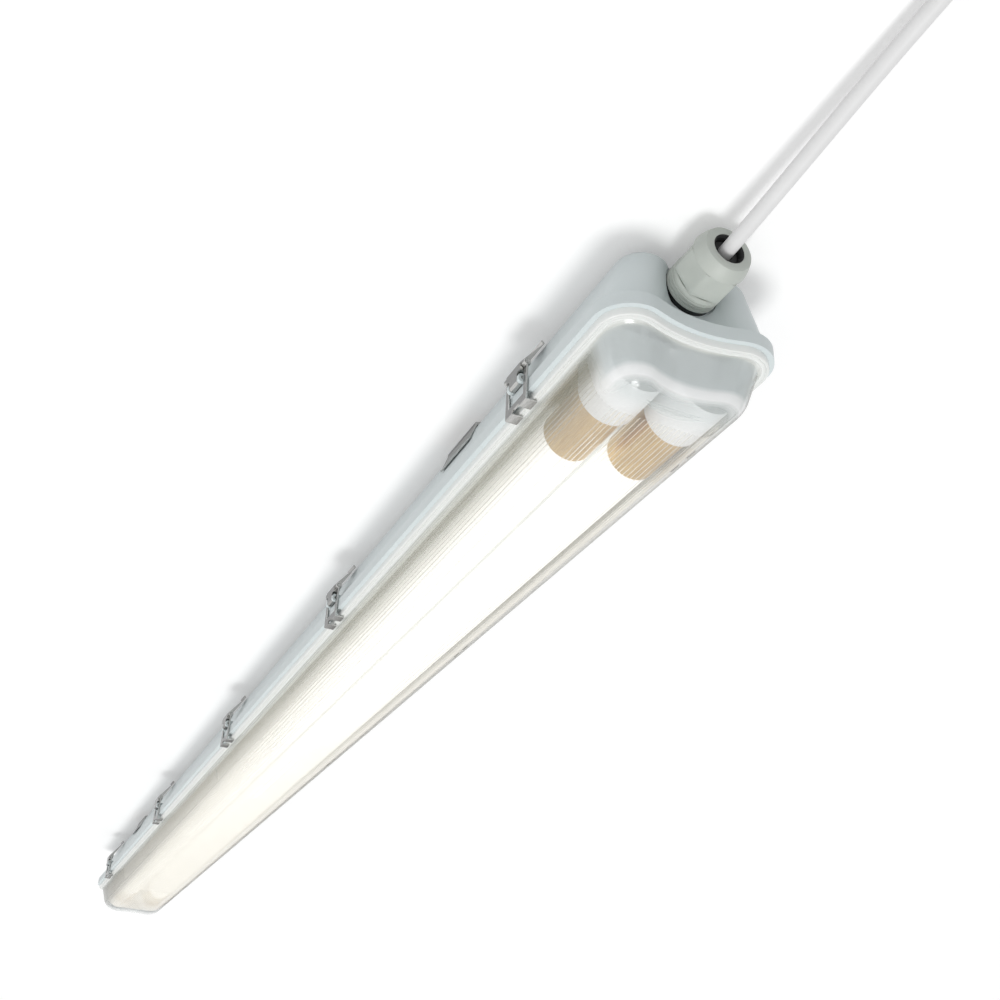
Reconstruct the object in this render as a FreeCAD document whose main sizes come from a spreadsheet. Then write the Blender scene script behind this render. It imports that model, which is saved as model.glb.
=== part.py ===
import FreeCAD, Part
import Sketcher
import math
import os

# Ceiling batten light, twin tube, sealed: all lengths in millimetres.
# Frame: the ceiling is the plane z = 0, the clear cover faces down, X runs along the
# light and the cable comes out at +X. The origin lies midway between the two brackets.

SIZES = {
    # tubes: the light is as long as they need
    "tube_length": 1199.4, "tube_radius": 13, "tube_wall": 0.8, "tube_spread": 35,
    "tube_drop": 9.8, "cap_length": 54, "cap_radius": 13.4, "cap_bevel": 1, "pin_radius": 1.2,
    "pin_length": 7.2, "pin_spacing": 12.7,
    # lampholders: a cup round the cap's end and a turning seat behind it
    "holder_gap": 0.5, "holder_length": 13, "cup_depth": 17, "cup_play": 0.3, "cup_wall": 1.6,
    "rotor_radius": 8.5, "rotor_length": 8.6, "rotor_play": 0.05,
    # housing and its rim
    "end_room": 37.8, "rim_width": 91.5, "rim_corner": 18.4, "rim_dip": 4.5,
    "housing_depth": 38.6, "standoff": 6, "flange_height": 7, "flange_step": 3,
    "back_width": 65.2, "back_set": 5.8, "back_corner": 13, "wall": 2.4, "mouth_lean": 1,
    "wall_dip": 9, "back_dip": 8, "back_round": 4,
    # seal groove under the rim
    "groove_inset": 3.2, "groove_width": 2.8, "groove_depth": 3.8, "gasket_height": 1.8,
    # cover
    "cover_depth": 29.9, "cover_wall": 1.8, "cover_round": 11.7, "cover_step": 5.1,
    "cover_draft": 9, "cover_rim_inset": 2.5, "cover_rim_height": 4, "tongue_play": 0.1,
    "prism_height": 0.9, "prism_short": 1.7, "prism_floor": 8, "prism_corner": 8,
    "prism_side": 5, "prism_clear": 3,
    # gear tray and what it carries
    "tray_width": 66, "tray_past": 11.3, "tray_sheet": 0.8, "tray_lip": 8.5,
    "tray_rise": 5.6, "post_radius": 3.6, "post_near": 270, "post_far": 450,
    "screw_radius": 2, "screw_head": 3.5, "screw_reach": 12, "gear_length": 360,
    "gear_width": 30, "gear_height": 21, "gear_notch": 18, "terminal_length": 40,
    "terminal_width": 18, "terminal_height": 17, "terminal_from_end": 117.5,
    "terminal_entry": 1.6, "wire_radius": 1, "wire_aside": 11,
    # clips
    "clip_pitch": 273.8, "clip_count": 5, "pivot_out": 0.9, "pivot_up": 2.8, "clip_link": 7,
    "clip_pin": 1.1, "clip_play": 0.05, "clip_eye": 2.3, "lever_width": 15, "tip_width": 10,
    "root_width": 8, "hook_width": 22, "side_play": 0.3, "ear_width": 2.2, "ear_lip": 1.3,
    "clip_sheet": 1, "hook_eye": 1.9, "hook_reach": 2.4, "hook_play": 0.3,
    "lever_tip_drop": 2.5, "lever_tip_gap": 1.6, "window_edge": 2.6,
    # brackets
    "bracket_spread": 898, "bracket_width": 38, "bracket_sheet": 1, "bracket_play": 0.3,
    "bracket_hole": 2.75, "bracket_land": 20, "bracket_grip": 9, "bracket_edge": 4,
    # cable gland, M20
    "gland_rise": 27.3, "gland_set": 11.6, "gland_boss": 14, "gland_boss_depth": 12,
    "gland_hole": 10.2, "gland_thread": 10, "gland_bore": 5.1, "blank_thick": 1.6,
    "seal_thick": 2.2, "seal_radius": 12.8, "collar_radius": 13.2, "collar_length": 8.4,
    "ring_first": 1.6, "ring_pitch": 1.9, "ring_depth": 0.5, "neck_radius": 10.4,
    "neck_length": 13, "nut_play": 0.3, "nut_flats": 26, "nut_length": 21.7,
    "nut_mouth": 6.5, "insert_back": 3.5,
    # cable and ceiling box
    "cable_radius": 3.5, "cable_in": 22, "cable_straight": 38, "box_away": 204,
    "box_aside": 2.4, "box_entry_drop": 6.6, "box_radius": 38, "box_height": 26,
    "box_screw_hole": 2.25, "box_screw_spread": 52, "box_wall": 2.4, "lid_thick": 3,
    "lid_lip": 4, "lid_over": 1.2, "lid_play": 0.2, "lid_screw": 3, "lid_screw_spread": 48,
    "grommet_wall": 2, "grommet_lip": 0.9, "grommet_in": 8,
}

doc = FreeCAD.newDocument("ceiling_batten")
sheet = doc.addObject("Spreadsheet::Sheet", "sizes")
for row, (alias, value) in enumerate(SIZES.items(), start=1):
    sheet.set("A%d" % row, alias)
    sheet.set("B%d" % row, str(value))
    sheet.setAlias("B%d" % row, alias)
doc.recompute()

AXIS_X = FreeCAD.Vector(1, 0, 0)
AXIS_Y = FreeCAD.Vector(0, 1, 0)
AXIS_Z = FreeCAD.Vector(0, 0, 1)
ALONG = {
    "X": FreeCAD.Rotation(AXIS_Y, 90),
    "Z": FreeCAD.Rotation(),
}


def formula(text):
    """Put the sheet's name before each alias in a formula."""
    out = []
    word = ""
    for letter in text + " ":
        if letter.isalnum() or letter == "_":
            word += letter
            continue
        out.append("sizes." + word if word in SIZES else word)
        out.append(letter)
        word = ""
    return "".join(out).strip()


def number(text):
    """The present value of a formula."""
    return float(sheet.evalExpression(formula(text)))


# planes that several pieces share, as formulas
BODY_LENGTH = "(tube_length + 2 * end_room)"
RIM = "(0 - standoff - housing_depth)"
BACK = "(0 - standoff)"
FLANGE_TOP = "(%s + flange_height)" % RIM
COVER_FLOOR = "(%s - cover_depth)" % RIM
TUBE_AXIS = "(%s - tube_drop)" % RIM
HOLDER_FACE = "(tube_length / 2 + holder_gap)"
TRAY_LENGTH = "(tube_length + 2 * tray_past)"
TRAY_FACE = "(%s + tray_rise)" % RIM
TRAY_TOP = "(%s + tray_sheet)" % TRAY_FACE
GLAND_SEAT = "(%s / 2 - gland_set)" % BODY_LENGTH
GLAND_AXIS = "(%s + gland_rise)" % RIM
TERMINAL_X = "(%s / 2 - terminal_from_end)" % BODY_LENGTH
CABLE_START = "(%s + cable_in)" % GLAND_SEAT
PIVOT_OUT = "(rim_width / 2 + pivot_out)"
PIVOT_Z = "(%s + pivot_up)" % FLANGE_TOP
LINK_Z = "(%s + clip_link)" % PIVOT_Z
HOOK_TOP = "(%s - cover_rim_height - hook_play)" % RIM
HOOK_IN = "(rim_width / 2 - cover_rim_inset - hook_reach)"
TIP_Z = "(%s - lever_tip_drop)" % BACK
BOX_ENTRY = "(%s + box_away)" % GLAND_SEAT
BOX_Y = "(0 - box_aside)"
ENTRY_Z = "(0 - box_entry_drop)"


# ---------------------------------------------------------------- helpers

def bind(target, prop, text):
    """Tie a property to a formula of sheet values."""
    target.setExpression(prop, formula(text))


def new_body(node):
    body = doc.addObject("PartDesign::Body", node)
    body.Label = node
    return body


def new_sketch(body, name, role, offset="0", shift=("0", "0")):
    """A sketch on one of the body's own planes, moved by formulas."""
    sketch = body.newObject("Sketcher::SketchObject", name)
    plane = next(f for f in body.Origin.OriginFeatures if f.Role == role)
    sketch.AttachmentSupport = [(plane, "")]
    sketch.MapMode = "FlatFace"
    bind(sketch, ".AttachmentOffset.Base.x", shift[0])
    bind(sketch, ".AttachmentOffset.Base.y", shift[1])
    bind(sketch, ".AttachmentOffset.Base.z", offset)
    return sketch


def add_size(sketch, kind, references, text):
    """A dimension of the sketch, bound to a formula."""
    index = sketch.addConstraint(Sketcher.Constraint(kind, *references, number(text)))
    sketch.setExpression("Constraints[%d]" % index, formula(text))


def draw_polygon(sketch, points):
    """A closed outline; each corner is held at its two formulas from the sketch's origin."""
    places = [FreeCAD.Vector(number(u), number(v), 0) for u, v in points]
    first = sketch.GeometryCount
    count = len(points)
    for i in range(count):
        sketch.addGeometry(Part.LineSegment(places[i], places[(i + 1) % count]), False)
    for i in range(count):
        line = first + i
        after = first + (i + 1) % count
        sketch.addConstraint(Sketcher.Constraint("Coincident", line, 2, after, 1))
    for i, (u, v) in enumerate(points):
        line = first + i
        for kind, text, axis_line in (("DistanceX", u, -2), ("DistanceY", v, -1)):
            if abs(number(text)) < 1e-9:
                sketch.addConstraint(Sketcher.Constraint("PointOnObject", line, 1, axis_line))
            else:
                add_size(sketch, kind, (-1, 1, line, 1), text)


def draw_box(sketch, low, high):
    """A rectangle between two corners given as formulas."""
    corners = [low, (high[0], low[1]), high, (low[0], high[1])]
    draw_polygon(sketch, corners)


def draw_circle(sketch, centre, radius):
    place = FreeCAD.Vector(number(centre[0]), number(centre[1]), 0)
    circle = sketch.addGeometry(Part.Circle(place, AXIS_Z, number(radius)), False)
    add_size(sketch, "Radius", (circle,), radius)
    for kind, text, axis_line in (("DistanceX", centre[0], -2), ("DistanceY", centre[1], -1)):
        if abs(number(text)) < 1e-9:
            sketch.addConstraint(Sketcher.Constraint("PointOnObject", circle, 3, axis_line))
        else:
            add_size(sketch, kind, (-1, 1, circle, 3), text)


def draw_lobed(sketch, length, width, corner, dip):
    """Long outline whose ends have two round lobes with a hollow of depth dip between them.

    Each lobe is an arc of radius corner. The hollow is one arc that meets both lobes
    smoothly, so its radius follows from the lobes' spread and the dip.
    """
    half_x = number(length) / 2 - number(corner)
    half_y = number(width) / 2
    lobe = number(corner)
    lobe_y = half_y - lobe
    reach = (number(dip) ** 2 + lobe_y ** 2) / (2 * number(dip))
    hollow = reach - lobe
    centre_x = number(length) / 2 - number(dip) + hollow
    turn = math.atan2(lobe_y, centre_x - half_x)
    quarter = math.pi / 2

    def line(x0, y0, x1, y1):
        sketch.addGeometry(Part.LineSegment(FreeCAD.Vector(x0, y0, 0),
                                            FreeCAD.Vector(x1, y1, 0)), False)

    def arc(x, y, radius, start, end):
        circle = Part.Circle(FreeCAD.Vector(x, y, 0), AXIS_Z, radius)
        sketch.addGeometry(Part.ArcOfCircle(circle, start, end), False)

    base = sketch.GeometryCount
    line(-half_x, half_y, half_x, half_y)
    arc(half_x, lobe_y, lobe, -turn, quarter)
    arc(centre_x, 0, hollow, math.pi - turn, math.pi + turn)
    arc(half_x, -lobe_y, lobe, -quarter, turn)
    line(half_x, -half_y, -half_x, -half_y)
    arc(-half_x, -lobe_y, lobe, math.pi - turn, 3 * quarter)
    arc(-centre_x, 0, hollow, -turn, turn)
    arc(-half_x, lobe_y, lobe, quarter, math.pi + turn)
    joins = [(0, 2, 1, 2), (1, 1, 2, 1), (2, 2, 3, 2), (3, 1, 4, 1),
             (4, 2, 5, 2), (5, 1, 6, 1), (6, 2, 7, 2), (7, 1, 0, 1)]
    for one, end_one, two, end_two in joins:
        sketch.addConstraint(Sketcher.Constraint(
            "Tangent", base + one, end_one, base + two, end_two))
    for one, two in ((1, 3), (1, 5), (1, 7), (2, 6)):
        sketch.addConstraint(Sketcher.Constraint("Equal", base + one, base + two))
    sketch.addConstraint(Sketcher.Constraint("Symmetric", base, 1, base, 2, -2))
    sketch.addConstraint(Sketcher.Constraint("Symmetric", base + 4, 1, base + 4, 2, -2))
    sketch.addConstraint(Sketcher.Constraint("Symmetric", base, 2, base + 4, 1, -1))
    add_size(sketch, "DistanceY", (base + 4, 1, base, 2), width)
    add_size(sketch, "DistanceX", (base, 1, base, 2), "%s - 2 * (%s)" % (length, corner))
    add_size(sketch, "Radius", (base + 1,), corner)
    spread = "(%s) / 2 - (%s)" % (width, corner)
    add_size(sketch, "Radius", (base + 2,),
             "((%s)^2 + (%s)^2) / (2 * (%s)) - (%s)" % (dip, spread, dip, corner))


def draw_rim(sketch, inset):
    """The rim's outline, drawn in by an inset."""
    draw_lobed(sketch, "(%s - 2 * (%s))" % (BODY_LENGTH, inset),
               "(rim_width - 2 * (%s))" % inset, "(rim_corner - (%s))" % inset, "rim_dip")


def pad(body, name, profile, length, side="One side", back=False):
    feature = body.newObject("PartDesign::Pad", name)
    feature.Profile = profile
    feature.SideType = side
    feature.Reversed = back
    bind(feature, "Length", length)
    return feature


def pocket(body, name, profile, length, side="One side", back=False):
    feature = body.newObject("PartDesign::Pocket", name)
    feature.Profile = profile
    feature.SideType = side
    feature.Reversed = back
    bind(feature, "Length", length)
    return feature


def loft(body, name, kind, profiles):
    feature = body.newObject("PartDesign::" + kind, name)
    feature.Profile = profiles[0]
    feature.Sections = profiles[1:]
    feature.Ruled = len(profiles) == 2
    return feature


def pattern(body, name, kind, original, axis, length, count):
    """A linear or round pattern of one feature; it becomes the body's tip."""
    feature = body.newObject("PartDesign::" + kind, name)
    feature.Originals = [original]
    if kind == "LinearPattern":
        feature.Direction = axis
        bind(feature, "Length", length)
    else:
        feature.Axis = axis
        bind(feature, "Angle", length)
    bind(feature, "Occurrences", count)
    body.Tip = feature
    return feature


def place(feature, at, along="Z", turn=0):
    rotation = ALONG[along]
    if turn:
        rotation = rotation.multiply(FreeCAD.Rotation(AXIS_Z, turn))
    feature.Placement = FreeCAD.Placement(FreeCAD.Vector(*(number(t) for t in at)), rotation)
    for letter, text in zip("xyz", at):
        bind(feature, ".Placement.Base." + letter, text)


def cylinder(name, radius, length, at, along="Z"):
    feature = doc.addObject("Part::Cylinder", name)
    bind(feature, "Radius", radius)
    bind(feature, "Height", length)
    place(feature, at, along)
    return feature


def box(name, size, at):
    """A box centred in X and Y on a point of its bottom face."""
    feature = doc.addObject("Part::Box", name)
    for prop, text in zip(("Length", "Width", "Height"), size):
        bind(feature, prop, text)
    corner = ("%s - (%s) / 2" % (at[0], size[0]), "%s - (%s) / 2" % (at[1], size[1]), at[2])
    place(feature, corner)
    return feature


def hexagon(name, flats, length, at, along="X", turn=0):
    feature = doc.addObject("Part::Prism", name)
    feature.Polygon = 6
    bind(feature, "Circumradius", "(%s) / sqrt(3)" % flats)
    bind(feature, "Height", length)
    place(feature, at, along, turn)
    return feature


def cut(name, base, tool):
    feature = doc.addObject("Part::Cut", name)
    feature.Base = base
    feature.Tool = tool
    feature.Label = name
    return feature


def join(name, shapes):
    """One solid from pieces that meet."""
    feature = doc.addObject("Part::MultiFuse", name)
    feature.Shapes = shapes
    feature.Refine = True
    feature.Label = name
    return feature


def group(name, shapes):
    """Separate solids kept in one node."""
    feature = doc.addObject("Part::Compound", name)
    feature.Links = shapes
    feature.Label = name
    return feature


nodes = []


def keep(feature):
    nodes.append(feature)
    return feature


# ---------------------------------------------------------------- housing

def build_housing():
    """Moulded tray: rim, tapered walls with lobed ends, gland boss, posts and clip ears."""
    body = new_body("housing")
    rim = new_sketch(body, "rim_outline", "XY_Plane", RIM)
    draw_rim(rim, "0")
    pad(body, "rim_pad", rim, "flange_height")
    low = new_sketch(body, "wall_foot", "XY_Plane", FLANGE_TOP)
    draw_lobed(low, "(%s - 2 * flange_step)" % BODY_LENGTH, "(rim_width - 2 * flange_step)",
               "(rim_corner - flange_step)", "wall_dip")
    high = new_sketch(body, "wall_top", "XY_Plane", BACK)
    back_length = "(%s - 2 * back_set)" % BODY_LENGTH
    draw_lobed(high, back_length, "back_width", "back_corner", "back_dip")
    walls = loft(body, "walls", "AdditiveLoft", [low, high])
    doc.recompute()
    top_z = number(BACK)
    edges = [i for i, edge in enumerate(walls.Shape.Edges, start=1)
             if abs(edge.BoundBox.ZMin - top_z) < 1e-6 and abs(edge.BoundBox.ZMax - top_z) < 1e-6]
    rounding = body.newObject("PartDesign::Fillet", "back_rounding")
    rounding.Base = (walls, ["Edge%d" % i for i in edges])
    bind(rounding, "Radius", "back_round")
    face = new_sketch(body, "seat_face", "YZ_Plane", GLAND_SEAT, ("0", GLAND_AXIS))
    draw_circle(face, ("0", "0"), "gland_boss")
    pocket(body, "seat_face_cut", face, "gland_set + 1", back=True)
    far_face = new_sketch(body, "far_face", "YZ_Plane", "0 - " + GLAND_SEAT, ("0", GLAND_AXIS))
    draw_circle(far_face, ("0", "0"), "gland_boss")
    pocket(body, "far_face_cut", far_face, "gland_set + 1")
    inset = "(flange_step + wall)"
    mouth = new_sketch(body, "cavity_mouth", "XY_Plane", RIM)
    draw_lobed(mouth, "(%s - 2 * %s)" % (BODY_LENGTH, inset),
               "(rim_width - 2 * (%s + mouth_lean))" % inset, "(rim_corner - %s)" % inset, "wall_dip")
    floor = new_sketch(body, "cavity_floor", "XY_Plane", "%s - wall" % BACK)
    draw_lobed(floor, "(%s - 2 * wall)" % back_length, "(back_width - 2 * wall)",
               "(back_corner - wall)", "back_dip")
    loft(body, "cavity", "SubtractiveLoft", [mouth, floor])
    for end, side in (("near", 1), ("far", -1)):
        boss = new_sketch(body, "boss_" + end, "YZ_Plane", "%d * %s" % (side, GLAND_SEAT),
                          ("0", GLAND_AXIS))
        draw_circle(boss, ("0", "0"), "gland_boss")
        pad(body, "boss_pad_" + end, boss, "gland_boss_depth", back=side > 0)
    hole = new_sketch(body, "gland_hole_sketch", "YZ_Plane", GLAND_SEAT + " + 1",
                      ("0", GLAND_AXIS))
    draw_circle(hole, ("0", "0"), "gland_hole")
    pocket(body, "gland_hole_cut", hole, "gland_boss_depth + wall + 2")
    # the far entry is moulded shut: a thin blank is left at its outer face
    blank = new_sketch(body, "blank_sketch", "YZ_Plane", "blank_thick - " + GLAND_SEAT,
                       ("0", GLAND_AXIS))
    draw_circle(blank, ("0", "0"), "gland_hole")
    pocket(body, "blank_cut", blank, "gland_boss_depth + wall", back=True)
    groove = new_sketch(body, "groove_sketch", "XY_Plane", RIM)
    draw_rim(groove, "groove_inset")
    draw_rim(groove, "(groove_inset + groove_width)")
    pocket(body, "groove_cut", groove, "groove_depth", back=True)
    posts = new_sketch(body, "post_sketch", "XY_Plane", TRAY_TOP)
    for side in ("", "0 - "):
        for spot in ("post_near", "post_far"):
            draw_circle(posts, (side + spot, "0"), "post_radius")
            draw_circle(posts, (side + spot, "0"), "screw_radius")
    pad(body, "post_pads", posts, "housing_depth - tray_rise - tray_sheet - wall / 2")
    build_ears(body)
    return keep(body)


def build_ears(body):
    """Two ears for each clip's pin, on both long sides."""
    first = "(0 - clip_pitch * (clip_count - 1) / 2)"
    half = "(root_width / 2 + side_play)"
    root = "(rim_width / 2 - flange_step - wall * 2 / 3)"
    slope = "(%s + ear_lip)" % PIVOT_OUT
    tip = "(%s + clip_eye)" % PIVOT_OUT
    high, low = "(%s + clip_eye)" % PIVOT_Z, "(%s - clip_eye)" % PIVOT_Z
    upper, lower = "(%s + ear_lip)" % PIVOT_Z, "(%s - ear_lip)" % PIVOT_Z
    outline = [(root, high), (slope, high), (tip, upper), (tip, lower), (slope, low), (root, low)]
    axis = next(f for f in body.Origin.OriginFeatures if f.Role == "X_Axis")
    for side, sign in (("right", ""), ("left", "0 - ")):
        for hand, start in (("a", "%s - %s - ear_width" % (first, half)),
                            ("b", "%s + %s" % (first, half))):
            name = "ear_%s_%s" % (side, hand)
            ear = new_sketch(body, name, "YZ_Plane", start)
            draw_polygon(ear, [(sign + u, v) for u, v in outline])
            draw_circle(ear, (sign + PIVOT_OUT, PIVOT_Z), "clip_pin")
            lug = pad(body, name + "_pad", ear, "ear_width")
            pattern(body, name + "_row", "LinearPattern", lug, (axis, [""]),
                    "clip_pitch * (clip_count - 1)", "clip_count")


def build_gasket():
    """Soft ring at the bottom of the rim's groove."""
    body = new_body("gasket")
    ring = new_sketch(body, "gasket_ring", "XY_Plane", "%s + groove_depth" % RIM)
    draw_rim(ring, "groove_inset")
    draw_rim(ring, "(groove_inset + groove_width)")
    pad(body, "gasket_pad", ring, "gasket_height", back=True)
    return keep(body)


# ---------------------------------------------------------------- cover

def cover_inset(angle, wall):
    """How far the cover's face lies in from the rim's edge, at an angle round its foot."""
    lean = "cover_draft * (1 - cover_round / cover_depth * (1 - sin(%g)))" % angle
    foot = "(cover_round - %s) * (1 - cos(%g))" % (wall, angle)
    return "(cover_step + %s + %s + %s)" % (wall, lean, foot)


def cover_height(angle, wall):
    return "(%s + cover_round - (cover_round - %s) * sin(%g))" % (COVER_FLOOR, wall, angle)


def draw_bowl(sketch, inset):
    """An outline of the bowl, whose corners tighten less fast than it closes in."""
    draw_lobed(sketch, "(%s - 2 * %s)" % (BODY_LENGTH, inset), "(rim_width - 2 * %s)" % inset,
               "(rim_corner * (1 - %s / (rim_width / 2 - cover_round)))" % inset, "rim_dip")


def bowl_sections(body, name, wall):
    """Outlines down the rounded foot of the cover, from its leaning wall to its floor."""
    sketches = []
    steps = 5
    for i in range(steps + 1):
        angle = 90.0 * i / steps
        sketch = new_sketch(body, "%s_%d" % (name, i), "XY_Plane", cover_height(angle, wall))
        draw_bowl(sketch, cover_inset(angle, wall))
        sketches.append(sketch)
    return sketches


def bowl_sides(body, name, kind, wall):
    """The leaning side walls, from the rim to where the foot starts to round."""
    top = new_sketch(body, name + "_top", "XY_Plane", RIM)
    draw_bowl(top, "(cover_step + %s)" % wall)
    low = new_sketch(body, name + "_low", "XY_Plane", cover_height(0, wall))
    draw_bowl(low, cover_inset(0, wall))
    loft(body, name, kind, [top, low])


def build_cover():
    """Clear bowl with a rim, a tongue for the seal and prisms along its inner face."""
    body = new_body("cover")
    rim = new_sketch(body, "cover_rim", "XY_Plane", RIM)
    draw_rim(rim, "cover_rim_inset")
    pad(body, "cover_rim_pad", rim, "cover_rim_height", back=True)
    bowl_sides(body, "cover_sides", "AdditiveLoft", "0")
    loft(body, "cover_foot", "AdditiveLoft", bowl_sections(body, "foot_outer", "0"))
    bowl_sides(body, "cover_mouth", "SubtractiveLoft", "cover_wall")
    loft(body, "cover_hollow", "SubtractiveLoft", bowl_sections(body, "foot_inner", "cover_wall"))
    tongue = new_sketch(body, "tongue_sketch", "XY_Plane", RIM)
    draw_rim(tongue, "(groove_inset + tongue_play)")
    draw_rim(tongue, "(groove_inset + groove_width - tongue_play)")
    pad(body, "tongue_pad", tongue, "groove_depth - gasket_height")
    build_prisms(body)
    return keep(body)


def bowl_path(wall, counts):
    """Points across half of the bowl at a depth in its wall, each with its inward direction."""
    floor_count, corner_count, side_count = counts
    flat = "(rim_width / 2 - %s)" % cover_inset(90, wall)
    points = []
    for i in range(floor_count):
        points.append(("(%s * %d / %d)" % (flat, i, floor_count), cover_height(90, wall), 90))
    for i in range(corner_count):
        angle = 90 - 90.0 * i / corner_count
        points.append(("(rim_width / 2 - %s)" % cover_inset(angle, wall),
                       cover_height(angle, wall), angle))
    low = "(rim_width / 2 - %s)" % cover_inset(0, wall)
    climb = "(cover_depth - cover_round - cover_rim_height - prism_clear)"
    for i in range(side_count + 1):
        share = "(%s * %d / %d)" % (climb, i, side_count)
        points.append(("(%s + %s * cover_draft / cover_depth)" % (low, share),
                       "(%s + %s)" % (cover_height(0, wall), share), 0))
    return points


def build_prisms(body):
    """Prisms along the light, side by side across the floor, round the foot and up the sides."""
    counts = [int(number(n)) for n in ("prism_floor", "prism_corner", "prism_side")]
    valleys = bowl_path("cover_wall", counts)
    teeth = []
    for (y0, z0, turn0), (y1, z1, turn1) in zip(valleys, valleys[1:]):
        turn = (turn0 + turn1) / 2.0
        teeth.append((y0, z0))
        teeth.append(("((%s + %s) / 2 - prism_height * cos(%g))" % (y0, y1, turn),
                      "((%s + %s) / 2 + prism_height * sin(%g))" % (z0, z1, turn)))
    teeth.append(valleys[-1][:2])
    backing = [point[:2] for point in bowl_path("(cover_wall / 2)", (1, 3, 1))]
    outline = teeth + backing[::-1]
    start = "prism_short - tube_length / 2"
    for side, sign in (("right", ""), ("left", "0 - ")):
        band = new_sketch(body, "prism_band_" + side, "YZ_Plane", start)
        draw_polygon(band, [(sign + y, z) for y, z in outline])
        pad(body, "prisms_" + side, band, "tube_length - 2 * prism_short")


# ---------------------------------------------------------------- inside

def build_tray():
    """Folded sheet tray that hides the gear; lips stand up inside the housing."""
    body = new_body("gear_tray")
    half = "(tray_width / 2)"
    face = TRAY_FACE
    lip = "(%s + tray_lip)" % TRAY_FACE
    inner = "(tray_width / 2 - tray_sheet)"
    end = "0 - %s / 2" % TRAY_LENGTH
    section = new_sketch(body, "tray_section", "YZ_Plane", end)
    draw_polygon(section, [
        ("0 - " + half, lip), ("0 - " + half, face), (half, face), (half, lip),
        (inner, lip), (inner, TRAY_TOP), ("0 - " + inner, TRAY_TOP), ("0 - " + inner, lip)])
    pad(body, "tray_pad", section, TRAY_LENGTH)
    holes = new_sketch(body, "tray_holes", "XY_Plane", TRAY_TOP + " + 1")
    for side in ("", "0 - "):
        for spot in ("post_near", "post_far"):
            draw_circle(holes, (side + spot, "0"), "screw_radius")
    pocket(body, "tray_hole_cut", holes, "tray_sheet + 2")
    keep(body)
    screws = []
    for end, side in (("near", ""), ("far", "0 - ")):
        for spot in ("post_near", "post_far"):
            name = "%s_%s" % (spot, end)
            at = (side + spot, "0", "%s - screw_radius" % TRAY_FACE)
            head = cylinder("head_" + name, "screw_head", "screw_radius", at)
            shank = cylinder("shank_" + name, "screw_radius", "screw_radius + screw_reach", at)
            slot = box("slot_" + name, ("screw_head * 1.5", "0.8", "1"),
                       (at[0], "0", "%s - 0.2" % at[2]))
            screws.append(cut("screw_" + name, join("blank_" + name, [head, shank]), slot))
    keep(group("tray_screws", screws))


def build_gear():
    """Control gear and terminal block on top of the tray, and the wires between them."""
    case = box("gear_case", ("gear_length", "gear_width", "gear_height"), ("0", "0", TRAY_TOP))
    notch = []
    for end, side in (("near", ""), ("far", "0 - ")):
        at = ("%s(gear_length / 2 - gear_notch / 2 + 1)" % side, "0",
              "%s + gear_height * 3 / 4" % TRAY_TOP)
        notch.append(box("gear_notch_" + end, ("gear_notch + 2", "gear_width * 3 / 4",
                                               "gear_height / 2"), at))
    keep(cut("control_gear", cut("gear_half_cut", case, notch[0]), notch[1]))
    block = box("terminal_case", ("terminal_length", "terminal_width", "terminal_height"),
                (TERMINAL_X, "0", TRAY_TOP))
    entries = []
    count = 5
    for i in range(count):
        at = ("%s + terminal_length * %g" % (TERMINAL_X, (i + 0.5) / count - 0.5), "0",
              "%s + terminal_height * 2 / 3" % TRAY_TOP)
        entries.append(cylinder("terminal_entry_%d" % i, "terminal_entry", "terminal_height", at))
    row = join("terminal_entries", entries)
    keep(cut("terminal_block", block, row))
    sheath_end = "(%s + terminal_length / 2)" % TERMINAL_X
    sheath = cylinder("sheath", "cable_radius", "%s - %s" % (CABLE_START, sheath_end),
                      (sheath_end, "0", GLAND_AXIS), "X")
    wires = [sheath]
    gap = "tube_length / 2 - gear_length / 2 - 4 * wire_radius"
    for end, start in (("near", "gear_length / 2"), ("far", "4 * wire_radius - tube_length / 2")):
        for hand, sign in (("left", "0 - "), ("right", "")):
            at = (start, sign + "wire_aside", "%s + 1.2 * wire_radius" % TRAY_TOP)
            wires.append(cylinder("wire_%s_%s" % (end, hand), "wire_radius", gap, at, "X"))
    keep(group("internal_wiring", wires))


def build_lampholder(end, hand):
    """Rotary holder: a round-footed block with a cup for the cap and a seat for the rotor."""
    across = "" if hand == "right" else "0 - "
    name = "lampholder_%s_%s" % (end, hand)
    centre_y = across + "tube_spread / 2"
    length = "(cup_depth + holder_length)"
    outer = "(cap_radius + cup_play + cup_wall)"
    if end == "near":
        start_x, cup_x, seat_x = HOLDER_FACE + " - cup_depth", HOLDER_FACE + " - cup_depth - 1", HOLDER_FACE
    else:
        start_x = "0 - %s - holder_length" % HOLDER_FACE
        cup_x = "0 - " + HOLDER_FACE
        seat_x = "0 - %s - rotor_length" % HOLDER_FACE
    upper = box(name + "_block", (length, "2 * " + outer, "tube_drop + tray_rise"),
                ("%s + %s / 2" % (start_x, length), centre_y, TUBE_AXIS))
    foot = cylinder(name + "_foot", outer, length, (start_x, centre_y, TUBE_AXIS), "X")
    whole = join(name + "_body", [upper, foot])
    cup = cylinder(name + "_cup", "cap_radius + cup_play", "cup_depth + 1",
                   (cup_x, centre_y, TUBE_AXIS), "X")
    seat = cylinder(name + "_seat", "rotor_radius + rotor_play", "rotor_length",
                    (seat_x, centre_y, TUBE_AXIS), "X")
    keep(cut(name, whole, join(name + "_hollow", [cup, seat])))


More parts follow.
